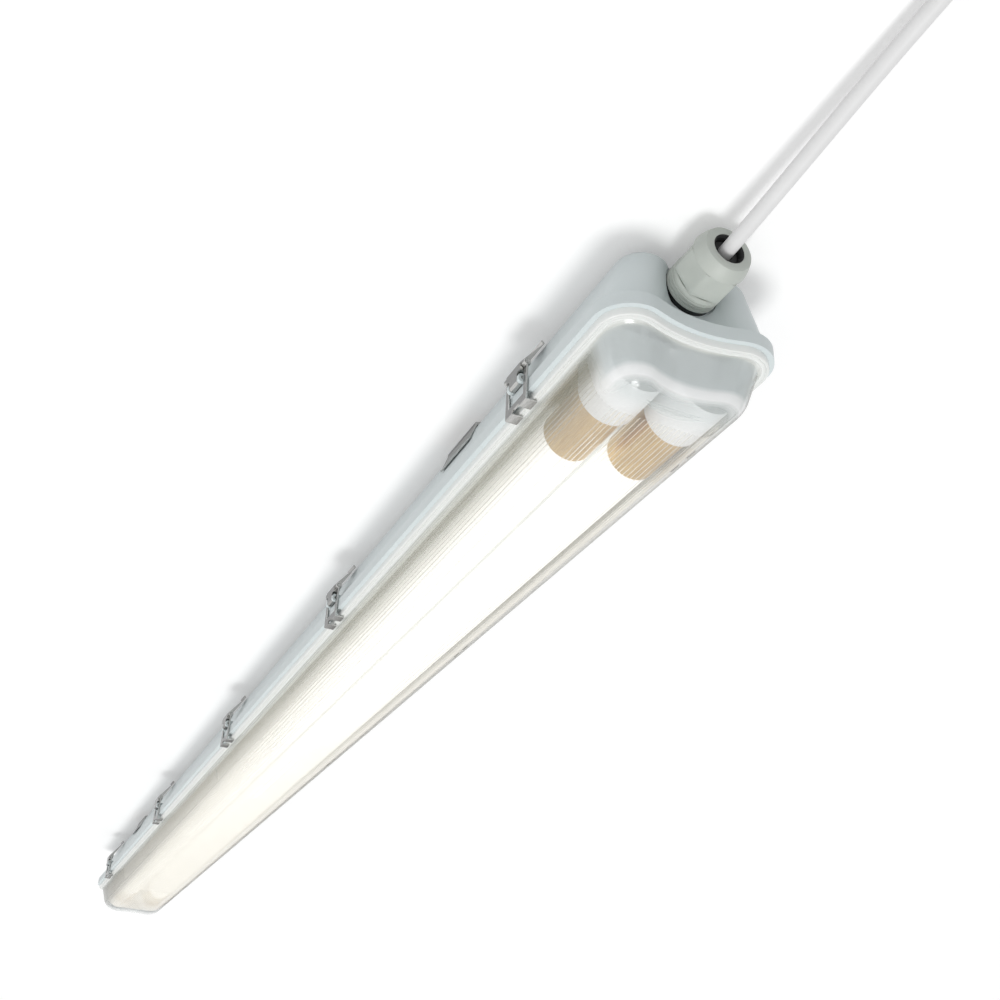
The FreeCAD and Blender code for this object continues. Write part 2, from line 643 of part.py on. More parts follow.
def build_tube(hand):
    """Straight tube with two caps, four pins and the two rotors that turn with it."""
    across = "" if hand == "right" else "0 - "
    centre_y = across + "tube_spread / 2"
    inner_end = "tube_length / 2 - cap_length"
    name = "tube_%s" % hand
    outer = cylinder(name + "_outer", "tube_radius", "2 * (%s)" % inner_end,
                     ("0 - (%s)" % inner_end, centre_y, TUBE_AXIS), "X")
    bore = cylinder(name + "_bore", "tube_radius - tube_wall", "2 * (%s)" % inner_end,
                    ("0 - (%s)" % inner_end, centre_y, TUBE_AXIS), "X")
    keep(cut(name, outer, bore))
    pins = []
    rotors = []
    for end, sign in (("near", ""), ("far", "0 - ")):
        cap_x = inner_end if end == "near" else "0 - tube_length / 2"
        shell = cylinder("%s_cap_shell_%s" % (name, end), "cap_radius", "cap_length",
                         (cap_x, centre_y, TUBE_AXIS), "X")
        round_end = doc.addObject("Part::Chamfer", "%s_cap_%s" % (name, end))
        round_end.Base = shell
        doc.recompute()
        face_x = number("tube_length / 2") * (1 if end == "near" else -1)
        rims = [i for i, edge in enumerate(shell.Shape.Edges, start=1)
                if abs(edge.BoundBox.XMin - face_x) < 0.01 and edge.BoundBox.ZLength > 1]
        bevel = number("cap_bevel")
        round_end.Edges = [(i, bevel, bevel) for i in rims]
        round_end.Label = "%s_cap_%s" % (name, end)
        keep(round_end)
        pin_x = "tube_length / 2" if end == "near" else "0 - tube_length / 2 - pin_length"
        rotor_x = HOLDER_FACE if end == "near" else "0 - %s - rotor_length" % HOLDER_FACE
        rotor = cylinder("%s_rotor_%s" % (name, end), "rotor_radius", "rotor_length",
                         (rotor_x, centre_y, TUBE_AXIS), "X")
        holes = []
        for place_name, up in (("low", "0 - "), ("high", "")):
            at_z = "%s %s pin_spacing / 2" % (TUBE_AXIS, "-" if up else "+")
            pins.append(cylinder("%s_pin_%s_%s" % (name, end, place_name), "pin_radius",
                                 "pin_length", (pin_x, centre_y, at_z), "X"))
            holes.append(cylinder("%s_hole_%s_%s" % (name, end, place_name), "pin_radius",
                                  "pin_length + 1", (pin_x, centre_y, at_z), "X"))
        rotors.append(cut("%s_rotor_bored_%s" % (name, end), rotor,
                          join("%s_holes_%s" % (name, end), holes)))
    keep(group(name + "_pins", pins))
    keep(group(name + "_rotors", rotors))


# ---------------------------------------------------------------- clips

def wall_out(height):
    """Distance of the housing's side wall from the middle plane at a height, as a formula."""
    slope = "((rim_width / 2 - flange_step - back_width / 2) / (housing_depth - flange_height))"
    return "(back_width / 2 + (%s - %s) * %s)" % (BACK, height, slope)


def build_lever(name, at_x, sign):
    """Sprung steel lever: an eye on the housing's pin and an axle that pulls the hook."""
    body = new_body(name)
    p, q = PIVOT_OUT, PIVOT_Z
    tip = "(%s + lever_tip_gap)" % wall_out(TIP_Z)
    eye, flat = "clip_eye", "clip_eye / 2"
    outline = [
        ("%s + %s" % (p, flat), "%s - %s" % (q, eye)), ("%s + %s" % (p, eye), "%s - %s" % (q, flat)),
        ("%s + %s" % (p, eye), q + " + clip_link + 1"), (tip + " + clip_sheet", TIP_Z + " - 1.5"),
        (tip + " + 2.2 * clip_sheet", TIP_Z), (tip + " + 1.4 * clip_sheet", TIP_Z + " + 1"),
        (tip, TIP_Z + " - 0.6"), (p + " - hook_eye", q + " + clip_link + 2"),
        (p + " - hook_eye", q + " + clip_link - 2"), (p + " - 1", q + " + 3"),
        ("%s - %s" % (p, eye), "%s + %s" % (q, flat)), ("%s - %s" % (p, eye), "%s - %s" % (q, flat)),
        ("%s - %s" % (p, flat), "%s - %s" % (q, eye))]
    side = new_sketch(body, name + "_side", "YZ_Plane", at_x)
    draw_polygon(side, [("%s(%s)" % (sign, u), v) for u, v in outline])
    draw_circle(side, (sign + p, q), "(clip_pin + clip_play)")
    pad(body, name + "_blade", side, "lever_width", "Symmetric")
    axle = new_sketch(body, name + "_axle", "YZ_Plane", at_x)
    draw_circle(axle, (sign + p, LINK_Z), "clip_pin")
    pad(body, name + "_axle_pad", axle, "hook_width", "Symmetric")
    front = new_sketch(body, name + "_front", "XZ_Plane", "0", (at_x, "0"))
    root_top = "(%s + clip_link / 2)" % q
    taper = "(%s + 3 * clip_pin)" % LINK_Z
    over = "(%s + 3)" % TIP_Z
    for hand in ("0 - ", ""):
        draw_box(front, (hand + "root_width / 2", q + " - 2 * clip_eye"),
                 (hand + "lever_width", root_top))
        draw_polygon(front, [(hand + "lever_width / 2", taper), (hand + "lever_width", taper),
                             (hand + "lever_width", over), (hand + "tip_width / 2", over)])
    low_edge = "(lever_width / 2 - window_edge)"
    high_edge = "(tip_width / 2 - window_edge / 2)"
    sill, lintel = LINK_Z + " + 4", TIP_Z + " - 4"
    draw_polygon(front, [("0 - " + low_edge, sill), (low_edge, sill), (high_edge, lintel),
                         ("0 - " + high_edge, lintel)])
    pocket(body, name + "_window", front, "2 * rim_width", "Symmetric")
    return keep(body)


def build_hook(name, at_x, sign):
    """Steel hook: two arms on the lever's axle and a foot under the cover's rim."""
    body = new_body(name)
    p, q = PIVOT_OUT, LINK_Z
    half, eye, flat = "clip_sheet / 2", "hook_eye", "hook_eye / 2"
    foot = "%s - clip_sheet" % HOOK_TOP
    outline = [
        ("%s + %s" % (p, half), foot), ("%s + %s" % (p, half), "%s - %s" % (q, eye)),
        ("%s + %s" % (p, eye), "%s - %s" % (q, flat)), ("%s + %s" % (p, eye), "%s + %s" % (q, flat)),
        ("%s + %s" % (p, flat), "%s + %s" % (q, eye)), ("%s - %s" % (p, flat), "%s + %s" % (q, eye)),
        ("%s - %s" % (p, eye), "%s + %s" % (q, flat)), ("%s - %s" % (p, eye), "%s - %s" % (q, flat)),
        ("%s - %s" % (p, half), "%s - %s" % (q, eye)), ("%s - %s" % (p, half), HOOK_TOP),
        (HOOK_IN, HOOK_TOP), (HOOK_IN, foot)]
    side = new_sketch(body, name + "_side", "YZ_Plane", at_x)
    draw_polygon(side, [("%s(%s)" % (sign, u), v) for u, v in outline])
    draw_circle(side, (sign + p, q), "(clip_pin + clip_play)")
    pad(body, name + "_plate", side, "hook_width", "Symmetric")
    front = new_sketch(body, name + "_front", "XZ_Plane", "0", (at_x, "0"))
    arm = "(lever_width / 2 + side_play)"
    draw_box(front, ("0 - " + arm, HOOK_TOP + " + 4"), (arm, q + " + 4"))
    draw_box(front, ("0 - hook_width / 6", foot + " - 1"), ("hook_width / 6", HOOK_TOP + " + 0.6"))
    pocket(body, name + "_window", front, "2 * rim_width", "Symmetric")
    return keep(body)


def build_clips():
    """Five clips on each long side, with the pins that their levers turn on."""
    pins = []
    for side, sign in (("right", ""), ("left", "0 - ")):
        for i in range(int(number("clip_count"))):
            at_x = "clip_pitch * (%d - (clip_count - 1) / 2)" % i
            label = "%s_%d" % (side, i + 1)
            build_lever("clip_lever_" + label, at_x, sign)
            build_hook("clip_hook_" + label, at_x, sign)
            span = "(root_width + 2 * side_play + 2 * ear_width)"
            at = ("%s - %s / 2" % (at_x, span), sign + PIVOT_OUT, PIVOT_Z)
            pins.append(cylinder("pin_" + label, "clip_pin", span, at, "X"))
    keep(group("clip_pins", pins))


# ---------------------------------------------------------------- brackets

def build_bracket(name, at_x):
    """Sprung strip: screwed to the ceiling in the middle, gripping the housing's shoulders."""
    body = new_body(name)
    grip_z = "(%s - bracket_grip)" % BACK
    play = "bracket_play"
    land = "bracket_land"
    knee = "(back_width / 2 - 1)"
    grip = "(%s + %s)" % (wall_out(grip_z), play)
    thick = "bracket_sheet"
    under = "(%s + %s)" % (BACK, play)
    right = [
        (land, "0"), ("(%s + 2)" % knee, "(%s + %s + 0.6)" % (under, thick)),
        ("(%s + 1.4 * %s + 0.9)" % (knee, thick), "(%s - 0.6)" % under),
        ("(%s + %s)" % (grip, thick), grip_z), ("(%s + 2.2 * %s)" % (grip, thick), grip_z + " - 2"),
        ("(%s + 1.2 * %s)" % (grip, thick), grip_z + " - 2.4"),
        (grip, grip_z), ("(%s + 0.9)" % knee, "(%s - 0.2)" % under),
        (knee, under), (land, "0 - " + thick)]
    outline = right + [("0 - " + u, v) for u, v in reversed(right)]
    section = new_sketch(body, name + "_section", "YZ_Plane", at_x)
    draw_polygon(section, outline)
    pad(body, name + "_strip", section, "bracket_width", "Symmetric")
    hole = new_sketch(body, name + "_hole", "XY_Plane", "1", (at_x, "0"))
    draw_circle(hole, ("0", "0"), "bracket_hole")
    pocket(body, name + "_hole_cut", hole, "bracket_sheet + 2")
    window = new_sketch(body, name + "_window", "XY_Plane", "1", (at_x, "0"))
    for hand in ("", "0 - "):
        edge = "(bracket_width / 2 - bracket_edge)"
        near_y = "%s(bracket_land - 1)" % hand
        far_y = "%s(%s - 2)" % (hand, knee)
        draw_polygon(window, [("0 - " + edge, near_y), (edge, near_y), ("0", far_y)])
    pocket(body, name + "_window_cut", window, "standoff + bracket_sheet + 2")
    return keep(body)


# ---------------------------------------------------------------- gland and cable

def revolve(body, name, profile):
    feature = body.newObject("PartDesign::Revolution", name)
    feature.Profile = profile
    feature.ReferenceAxis = (profile, ["H_Axis"])
    feature.Angle = 360
    return feature


def build_gland():
    """Cable entry that screws into the boss: body, seal, rubber insert and dome nut."""
    collar_x = "(%s + seal_thick)" % GLAND_SEAT
    neck_x = "(%s + collar_length)" % collar_x
    body = new_body("gland_body")
    profile = new_sketch(body, "gland_profile", "XZ_Plane", "0", ("0", GLAND_AXIS))
    tail_x = "(%s - gland_boss_depth - 1)" % GLAND_SEAT
    outline = [(tail_x, "gland_bore"), (tail_x, "gland_thread"),
               (collar_x, "gland_thread"), (collar_x, "collar_radius - 0.6"),
               ("%s + 0.6" % collar_x, "collar_radius")]
    for i in range(3):
        ring = "%s + ring_first + ring_pitch * %d" % (collar_x, i)
        dip = "collar_radius - ring_depth"
        outline += [(ring, "collar_radius"), (ring + " + 0.3", dip), (ring + " + 0.9", dip),
                    (ring + " + 1.2", "collar_radius")]
    outline += [(neck_x + " - 0.8", "collar_radius"), (neck_x, "collar_radius - 0.8"),
                (neck_x, "neck_radius"), (neck_x + " + neck_length", "neck_radius"),
                (neck_x + " + neck_length", "gland_bore")]
    draw_polygon(profile, outline)
    revolve(body, "gland_turned", profile)
    keep(body)
    hole = cylinder("seal_hole", "gland_thread", "seal_thick + 2",
                    (GLAND_SEAT + " - 1", "0", GLAND_AXIS), "X")
    disc = cylinder("seal_disc", "seal_radius", "seal_thick", (GLAND_SEAT, "0", GLAND_AXIS), "X")
    keep(cut("gland_seal", disc, hole))
    build_gland_nut(neck_x + " + nut_play")
    start = "(%s + neck_length + nut_play)" % neck_x
    outer = cylinder("insert_outer", "nut_mouth - nut_play", "nut_length - neck_length - insert_back",
                     (start, "0", GLAND_AXIS), "X")
    bore = cylinder("insert_bore", "cable_radius + 0.1", "nut_length", (start, "0", GLAND_AXIS), "X")
    keep(cut("gland_insert", outer, bore))


def build_gland_nut(start):
    """Dome nut: a hexagon turned down to a dome, so its flats end in arcs."""
    prism = hexagon("nut_hex", "nut_flats", "nut_length", (start, "0", GLAND_AXIS))
    dome = new_body("nut_dome")
    profile = new_sketch(dome, "dome_profile", "XZ_Plane", "0", (start, GLAND_AXIS))
    corner = "(nut_flats / sqrt(3))"
    flat = "(nut_flats / 2)"
    draw_polygon(profile, [
        ("0", "0"), ("0", corner + " - 0.8"), ("1.2", corner + " - 0.1"),
        ("nut_length * 0.4", corner + " - 0.1"), ("nut_length * 0.55", flat + " + 0.5"),
        ("nut_length * 0.7", flat + " - 0.7"), ("nut_length * 0.9", flat + " - 1.6"),
        ("nut_length * 0.97", flat + " - 2.3"), ("nut_length", flat + " - 3.4"),
        ("nut_length", "0")])
    revolve(dome, "dome_turned", profile)
    shaped = doc.addObject("Part::Common", "nut_shaped")
    shaped.Base = prism
    shaped.Tool = dome
    thread = cylinder("nut_thread", "neck_radius + 0.05", "neck_length + 1",
                      (start + " - 1", "0", GLAND_AXIS), "X")
    mouth = cylinder("nut_bore", "nut_mouth", "nut_length + 2", (start + " - 1", "0", GLAND_AXIS), "X")
    keep(cut("gland_nut", shaped, join("nut_hollow", [thread, mouth])))


def cable_route():
    """The cable leaves the nut along X, then runs straight up to the box on the ceiling."""
    axis = number(GLAND_AXIS)
    entry = number(BOX_ENTRY)
    side, drop = number(BOX_Y), number(ENTRY_Z)
    return [FreeCAD.Vector(number(CABLE_START), 0, axis),
            FreeCAD.Vector(number(GLAND_SEAT + " + cable_straight"), 0, axis),
            FreeCAD.Vector(entry - 34, side, drop), FreeCAD.Vector(entry + 16, side, drop)]


def tube_path(points):
    """Straight runs joined by tangent arcs, with each arc as large as its runs allow."""
    edges = []
    start = points[0]
    radii = []
    for before, corner, after in zip(points, points[1:], points[2:]):
        one = (corner - before)
        two = (after - corner)
        turn = one.getAngle(two)
        radius = 0.45 * min(one.Length, two.Length) / math.tan(turn / 2)
        reach = radius * math.tan(turn / 2)
        enter = corner - FreeCAD.Vector(one).normalize() * reach
        leave = corner + FreeCAD.Vector(two).normalize() * reach
        inward = (FreeCAD.Vector(two).normalize() - FreeCAD.Vector(one).normalize()).normalize()
        middle = corner + inward * (radius / math.cos(turn / 2) - radius)
        edges.append(Part.LineSegment(start, enter).toShape())
        edges.append(Part.Arc(enter, middle, leave).toShape())
        radii.append(round(radius, 1))
        start = leave
    edges.append(Part.LineSegment(start, points[-1]).toShape())
    return Part.Wire(edges), radii


def build_cable():
    path, radii = tube_path(cable_route())
    points = cable_route()
    circle = Part.makeCircle(number("cable_radius"), points[0], points[1] - points[0])
    tube = path.makePipeShell([Part.Wire([circle])], True, False)
    cable = doc.addObject("Part::Feature", "supply_cable")
    cable.Shape = tube
    section = math.pi * number("cable_radius") ** 2
    print("cable radii", radii, "length", round(path.Length, 1),
          "volume ratio", round(tube.Volume / (section * path.Length), 4))
    return keep(cable)


def build_ceiling_box():
    """Round surface box that the cable runs to: base, lid and entry grommet."""
    centre = (BOX_ENTRY + " + box_radius", BOX_Y)
    mouth = BOX_ENTRY + " - 3"
    outer = cylinder("box_outer", "box_radius", "box_height", centre + ("0 - box_height",))
    inner = cylinder("box_inner", "box_radius - box_wall", "box_height",
                     centre + ("0 - box_height - box_wall",))
    hole = cylinder("box_entry", "cable_radius + grommet_wall", "grommet_in + 3",
                    (mouth, BOX_Y, ENTRY_Z), "X")
    tools = [inner, hole]
    for hand, sign in (("left", "-"), ("right", "+")):
        at_y = "%s %s box_screw_spread / 2" % (BOX_Y, sign)
        tools.append(cylinder("box_screw_hole_" + hand, "box_screw_hole", "box_wall + 2",
                              (centre[0], at_y, "0 - box_wall - 1")))
    keep(cut("ceiling_box_base", outer, join("box_tools", tools)))
    under = "0 - box_height - lid_thick"
    plate = cylinder("lid_plate", "box_radius + lid_over", "lid_thick", centre + (under,))
    ring = cylinder("lid_ring", "box_radius - box_wall - lid_play", "lid_lip + lid_thick",
                    centre + (under,))
    ring_hollow = cylinder("lid_ring_hollow", "box_radius - 2 * box_wall", "lid_lip + 1",
                           centre + ("0 - box_height",))
    keep(cut("ceiling_box_lid", join("lid_body", [plate, ring]), ring_hollow))
    collar = cylinder("grommet_collar", "cable_radius + grommet_wall + grommet_lip", "3",
                      (mouth, BOX_Y, ENTRY_Z), "X")
    sleeve = cylinder("grommet_sleeve", "cable_radius + grommet_wall", "grommet_in",
                      (mouth, BOX_Y, ENTRY_Z), "X")
    bore = cylinder("grommet_bore", "cable_radius + 0.1", "2 * grommet_in + 4",
                    (BOX_ENTRY + " - grommet_in", BOX_Y, ENTRY_Z), "X")
    keep(cut("ceiling_box_grommet", join("grommet_body", [collar, sleeve]), bore))
    screws = []
    for hand, sign in (("left", "-"), ("right", "+")):
        at = ("%s %s lid_screw_spread / 2" % (centre[0], sign), BOX_Y, under + " - 1.2")
        screws.append(cylinder("lid_screw_" + hand, "lid_screw", "1.2", at))
    keep(group("ceiling_box_screws", screws))


# ---------------------------------------------------------------- the whole light

def check_and_write():
    """Stop if anything failed, then write one file for each named piece."""
    for item in doc.Objects:
        if "Invalid" in item.State or "Error" in item.State:
            raise RuntimeError("failed: " + item.Name)
    for item in nodes:
        if item.Shape.isNull() or not item.Shape.isValid():
            raise RuntimeError("bad shape: " + item.Label)
    os.makedirs("parts", exist_ok=True)
    for item in nodes:
        item.Shape.exportStep("parts/%s.step" % item.Label)
        print("%-24s solids %2d  volume %9.0f" % (
            item.Label, len(item.Shape.Solids), item.Shape.Volume))


build_housing()
build_gasket()
build_cover()
build_tray()
build_gear()
for end_name in ("near", "far"):
    for hand_name in ("left", "right"):
        build_lampholder(end_name, hand_name)
for hand_name in ("left", "right"):
    build_tube(hand_name)
build_clips()
build_bracket("bracket_near", "bracket_spread / 2")
build_bracket("bracket_far", "0 - bracket_spread / 2")
build_gland()
build_cable()
build_ceiling_box()
doc.recompute()
check_and_write()
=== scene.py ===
import math

import bmesh
import bpy
from mathutils import Matrix, Vector


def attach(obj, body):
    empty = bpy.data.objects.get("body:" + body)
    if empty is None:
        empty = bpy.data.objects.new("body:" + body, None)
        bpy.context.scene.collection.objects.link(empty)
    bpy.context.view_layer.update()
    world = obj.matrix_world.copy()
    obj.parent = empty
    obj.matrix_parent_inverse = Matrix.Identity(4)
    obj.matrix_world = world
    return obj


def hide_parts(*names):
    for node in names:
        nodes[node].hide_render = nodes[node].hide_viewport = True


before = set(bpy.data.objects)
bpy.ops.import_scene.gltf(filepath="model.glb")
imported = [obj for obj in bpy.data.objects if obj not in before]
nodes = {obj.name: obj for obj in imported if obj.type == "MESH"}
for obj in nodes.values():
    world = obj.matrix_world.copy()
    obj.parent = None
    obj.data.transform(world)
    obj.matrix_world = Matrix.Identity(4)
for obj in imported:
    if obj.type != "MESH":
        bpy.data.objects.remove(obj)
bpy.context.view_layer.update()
scene = bpy.context.scene
print("frame loaded:", len(nodes), "nodes")

mm = 0.001
mixA, mixB = 6, 7  # the colour sockets of a mix node
plasticRelief, metalRelief, mouldRelief = 0.2 * mm, 0.1 * mm, 0.3 * mm
plasticSpread, metalBelow, metalAbove = 0.05, 0.06, 0.08  # how far roughness strays
# how far the painted dark reflection of metals spreads over the glance
paintedReflectionSpan = 0.3


def linear(hexColour):
    values = [int(hexColour[i:i + 2], 16) / 255 for i in (1, 3, 5)]
    return [v / 12.92 if v <= 0.04045 else ((v + 0.055) / 1.055) ** 2.4 for v in values] + [1.0]


def addNode(tree, kind, settings=None, links=None):
    # a setting goes to the socket of that name or number, or else to the attribute of that name
    node = tree.nodes.new(kind)
    for key, value in (settings or {}).items():
        if isinstance(key, int) or key in node.inputs:
            node.inputs[key].default_value = value
        else:
            setattr(node, key, value)
    for key, source in (links or {}).items():
        tree.links.new(source, node.inputs[key])
    return node


def startMaterial(name):
    material = bpy.data.materials.new(name)
    material.use_nodes = True
    material.node_tree.nodes.clear()
    return material, material.node_tree


def endMaterial(tree, surface):
    addNode(tree, "ShaderNodeOutputMaterial", links={"Surface": surface.outputs[0]})


# camera, fitted to the clips, the rim, the back edge and both ends in the photo
cameraSettings = {
    "place": (0.97562, -0.24614, -0.3796),
    "right": (0.43226, 0.90090, 0.03912),
    "down": (-0.44561, 0.25112, -0.85928),
    "forward": (-0.78395, 0.35400, 0.51000),
    "focalPixels": 1210.03,
    "framePixels": 1000,
}


def makeCamera(settings):
    data = bpy.data.cameras.new("photoCamera")
    data.sensor_width = 36
    data.lens = settings["focalPixels"] / settings["framePixels"] * 36
    data.clip_start = 0.01
    data.clip_end = 50
    camera = bpy.data.objects.new("photoCamera", data)
    scene.collection.objects.link(camera)
    right, down, forward = (Vector(settings[k]) for k in ("right", "down", "forward"))
    turn = Matrix((right, -down, -forward)).transposed()
    camera.matrix_world = Matrix.Translation(settings["place"]) @ turn.to_4x4()
    scene.camera = camera


makeCamera(cameraSettings)
print("camera set")


# materials
def mouldedPlastic(name, look):
    # moulded plastic: a fine spark-eroded grain, a faint cloudiness and a soft gloss
    material, tree = startMaterial(name)
    place = addNode(tree, "ShaderNodeTexCoord")
    cloud = addNode(tree, "ShaderNodeTexNoise", {"Scale": 1 / (look["cloud"] * mm), "Detail": 3.0},
                    {"Vector": place.outputs["Object"]})
    tint = addNode(tree, "ShaderNodeMix", {
        "data_type": "RGBA", mixA: linear(look["low"]), mixB: linear(look["high"])},
        {"Factor": cloud.outputs["Fac"]})
    grain = addNode(tree, "ShaderNodeTexNoise", {"Scale": 1 / (look["grain"] * mm), "Detail": 2.0},
                    {"Vector": place.outputs["Object"]})
    bump = addNode(tree, "ShaderNodeBump", {"Strength": look["relief"], "Distance": plasticRelief},
                   {"Height": grain.outputs["Fac"]})
    rough = addNode(tree, "ShaderNodeMapRange", {
        "To Min": look["rough"] - plasticSpread, "To Max": look["rough"] + plasticSpread},
        {"Value": cloud.outputs["Fac"]})
    shader = addNode(tree, "ShaderNodeBsdfPrincipled", {"IOR": look["ior"]}, {
        "Base Color": tint.outputs[2], "Normal": bump.outputs["Normal"],
        "Roughness": rough.outputs["Result"]})
    endMaterial(tree, shader)
    return material


def rolledMetal(name, look):
    # rolled or drawn metal: fine streaks along the rolling direction, and a painted dark reflection
    # at a glance
    material, tree = startMaterial(name)
    place = addNode(tree, "ShaderNodeTexCoord")
    stretch = addNode(tree, "ShaderNodeMapping", {"Scale": look["stretch"]},
                      {"Vector": place.outputs["Object"]})
    streak = addNode(tree, "ShaderNodeTexNoise",
                     {"Scale": 1 / (look["streak"] * mm), "Detail": 4.0},
                     {"Vector": stretch.outputs["Vector"]})
    tint = addNode(tree, "ShaderNodeMix", {
        "data_type": "RGBA", mixA: linear(look["low"]), mixB: linear(look["high"])},
        {"Factor": streak.outputs["Fac"]})
    # painted dark reflection: the metal turns towards a dark colour where seen at a glance
    glance = addNode(tree, "ShaderNodeLayerWeight", {"Blend": 0.5})
    paintedReflection = addNode(tree, "ShaderNodeMapRange", {
        "From Min": look["paintedReflectionStart"], "From Max": look["paintedReflectionStart"] + paintedReflectionSpan,
        "To Max": look["paintedReflection"]},
        {"Value": glance.outputs["Facing"]})
    tone = addNode(tree, "ShaderNodeMix", {"data_type": "RGBA", mixB: linear(look["paintedReflectionColour"])},
                   {"Factor": paintedReflection.outputs["Result"], mixA: tint.outputs[2]})
    rough = addNode(tree, "ShaderNodeMapRange", {
        "To Min": look["rough"] - metalBelow, "To Max": look["rough"] + metalAbove},
        {"Value": streak.outputs["Fac"]})
    bump = addNode(tree, "ShaderNodeBump", {"Strength": look["relief"], "Distance": metalRelief},
                   {"Height": streak.outputs["Fac"]})
    shader = addNode(tree, "ShaderNodeBsdfPrincipled", {"Metallic": 1.0}, {
        "Base Color": tone.outputs[2], "Normal": bump.outputs["Normal"],
        "Roughness": rough.outputs["Result"]})
    endMaterial(tree, shader)
    return material


def heightRamp(tree, height, stops):
    # colour and cover by height, low stops first
    low, high = stops[0][0], stops[-1][0]
    share = addNode(tree, "ShaderNodeMapRange", {"From Min": low * mm, "From Max": high * mm},
                    {"Value": height})
    ramp = addNode(tree, "ShaderNodeValToRGB", links={"Fac": share.outputs["Result"]})
    marks = ramp.color_ramp.elements
    while len(marks) < len(stops):
        marks.new(0.5)
    for mark, (z, colour, cover) in zip(marks, stops):
        mark.position = (z - low) / (high - low)
        mark.color = (*linear(colour)[:3], cover)
    return ramp


def clearPolycarbonate(name, look):
    # moulded clear polycarbonate: seen through when faced, milky at the rim, with painted shade
    # along the sides, a painted highlight along the foot at the ends and a painted tone at a glance
    material, tree = startMaterial(name)
    place = addNode(tree, "ShaderNodeTexCoord")
    axes = addNode(tree, "ShaderNodeSeparateXYZ", links={"Vector": place.outputs["Object"]})
    outward = {axis: addNode(tree, "ShaderNodeMath", {"operation": "ABSOLUTE"},
                             {0: axes.outputs[axis]}) for axis in "XY"}
    tip = addNode(tree, "ShaderNodeMapRange", {
        "From Min": look["tipStart"] * mm, "From Max": look["tipEnd"] * mm},
        {"Value": outward["X"].outputs[0]})
    along = heightRamp(tree, axes.outputs["Z"], look["alongStops"])
    ends = heightRamp(tree, axes.outputs["Z"], look["endStops"])
    tint = addNode(tree, "ShaderNodeMix", {"data_type": "RGBA"}, {
        "Factor": tip.outputs["Result"], mixA: along.outputs["Color"], mixB: ends.outputs["Color"]})
    base = addNode(tree, "ShaderNodeMix", {}, {
        "Factor": tip.outputs["Result"], "A": along.outputs["Alpha"], "B": ends.outputs["Alpha"]})
    # painted edge lines: where seen at a glance the cover turns opaque in its own colour and the
    # glance tone
    edge = addNode(tree, "ShaderNodeLayerWeight", {"Blend": look["edgeBlend"]})
    edgeFull = addNode(tree, "ShaderNodeMapRange", {
        "From Min": look["edgeStart"], "From Max": look["edgeEnd"], "To Max": look["glanceCover"]},
        {"Value": edge.outputs["Facing"]})
    sideMask = addNode(tree, "ShaderNodeMapRange", {
        "From Min": look["sideStart"] * mm, "From Max": look["sideEnd"] * mm,
        "To Min": look["floorShare"]}, {"Value": outward["Y"].outputs[0]})
    glanceCover = addNode(tree, "ShaderNodeMath", {"operation": "MULTIPLY"},
                       {0: edgeFull.outputs["Result"], 1: sideMask.outputs["Result"]})
    cover = addNode(tree, "ShaderNodeMath", {"operation": "MAXIMUM"},
                    {0: glanceCover.outputs[0], 1: base.outputs[0]})
    # the painted tone where the cover is seen at a glance (painted shade on the shell, painted
    # highlight on the prisms) stops below the rim
    rimFree = addNode(tree, "ShaderNodeMapRange", {
        "From Min": look["glancePaintFull"] * mm, "From Max": look["glancePaintNone"] * mm,
        "To Min": 1.0, "To Max": 0.0}, {"Value": axes.outputs["Z"]})
    glanceWeight = addNode(tree, "ShaderNodeMapRange", {
        "From Min": look["edgeEnd"] - look["glancePaintSpan"], "From Max": look["edgeEnd"]},
        {"Value": edge.outputs["Facing"]})
    glancePaintAside = addNode(tree, "ShaderNodeMath", {"operation": "MULTIPLY"},
                        {0: glanceWeight.outputs["Result"], 1: sideMask.outputs["Result"]})
    glancePaintShare = addNode(tree, "ShaderNodeMath", {"operation": "MULTIPLY"},
                        {0: rimFree.outputs["Result"], 1: glancePaintAside.outputs[0]})
    tone = addNode(tree, "ShaderNodeMix", {"data_type": "RGBA", mixB: linear(look["paintedGlanceColour"])},
                   {"Factor": glancePaintShare.outputs[0], mixA: tint.outputs[2]})
    peel = addNode(tree, "ShaderNodeTexNoise", {"Scale": 1 / (look["peel"] * mm), "Detail": 1.0},
                   {"Vector": place.outputs["Object"]})
    bump = addNode(tree, "ShaderNodeBump", {"Strength": look["relief"], "Distance": mouldRelief},
                   {"Height": peel.outputs["Fac"]})
    shader = addNode(tree, "ShaderNodeBsdfPrincipled",
                     {"Roughness": look["rough"], "IOR": look["ior"]}, {
        "Base Color": tone.outputs[2], "Alpha": cover.outputs[0], "Normal": bump.outputs["Normal"]})
    endMaterial(tree, shader)
    return material


def opalGlass(name, look):
    # opal white glass tube: smooth outside, lit softly from within
    material, tree = startMaterial(name)
    place = addNode(tree, "ShaderNodeTexCoord")
    cloud = addNode(tree, "ShaderNodeTexNoise", {"Scale": 1 / (look["cloud"] * mm), "Detail": 2.0},
                    {"Vector": place.outputs["Object"]})
    tint = addNode(tree, "ShaderNodeMix", {
        "data_type": "RGBA", mixA: linear(look["low"]), mixB: linear(look["high"])},
        {"Factor": cloud.outputs["Fac"]})
    shader = addNode(tree, "ShaderNodeBsdfPrincipled", {
        "Roughness": look["rough"], "IOR": look["ior"],
        "Emission Color": linear(look["glow"]), "Emission Strength": look["power"]},
        {"Base Color": tint.outputs[2]})
    endMaterial(tree, shader)
    return material


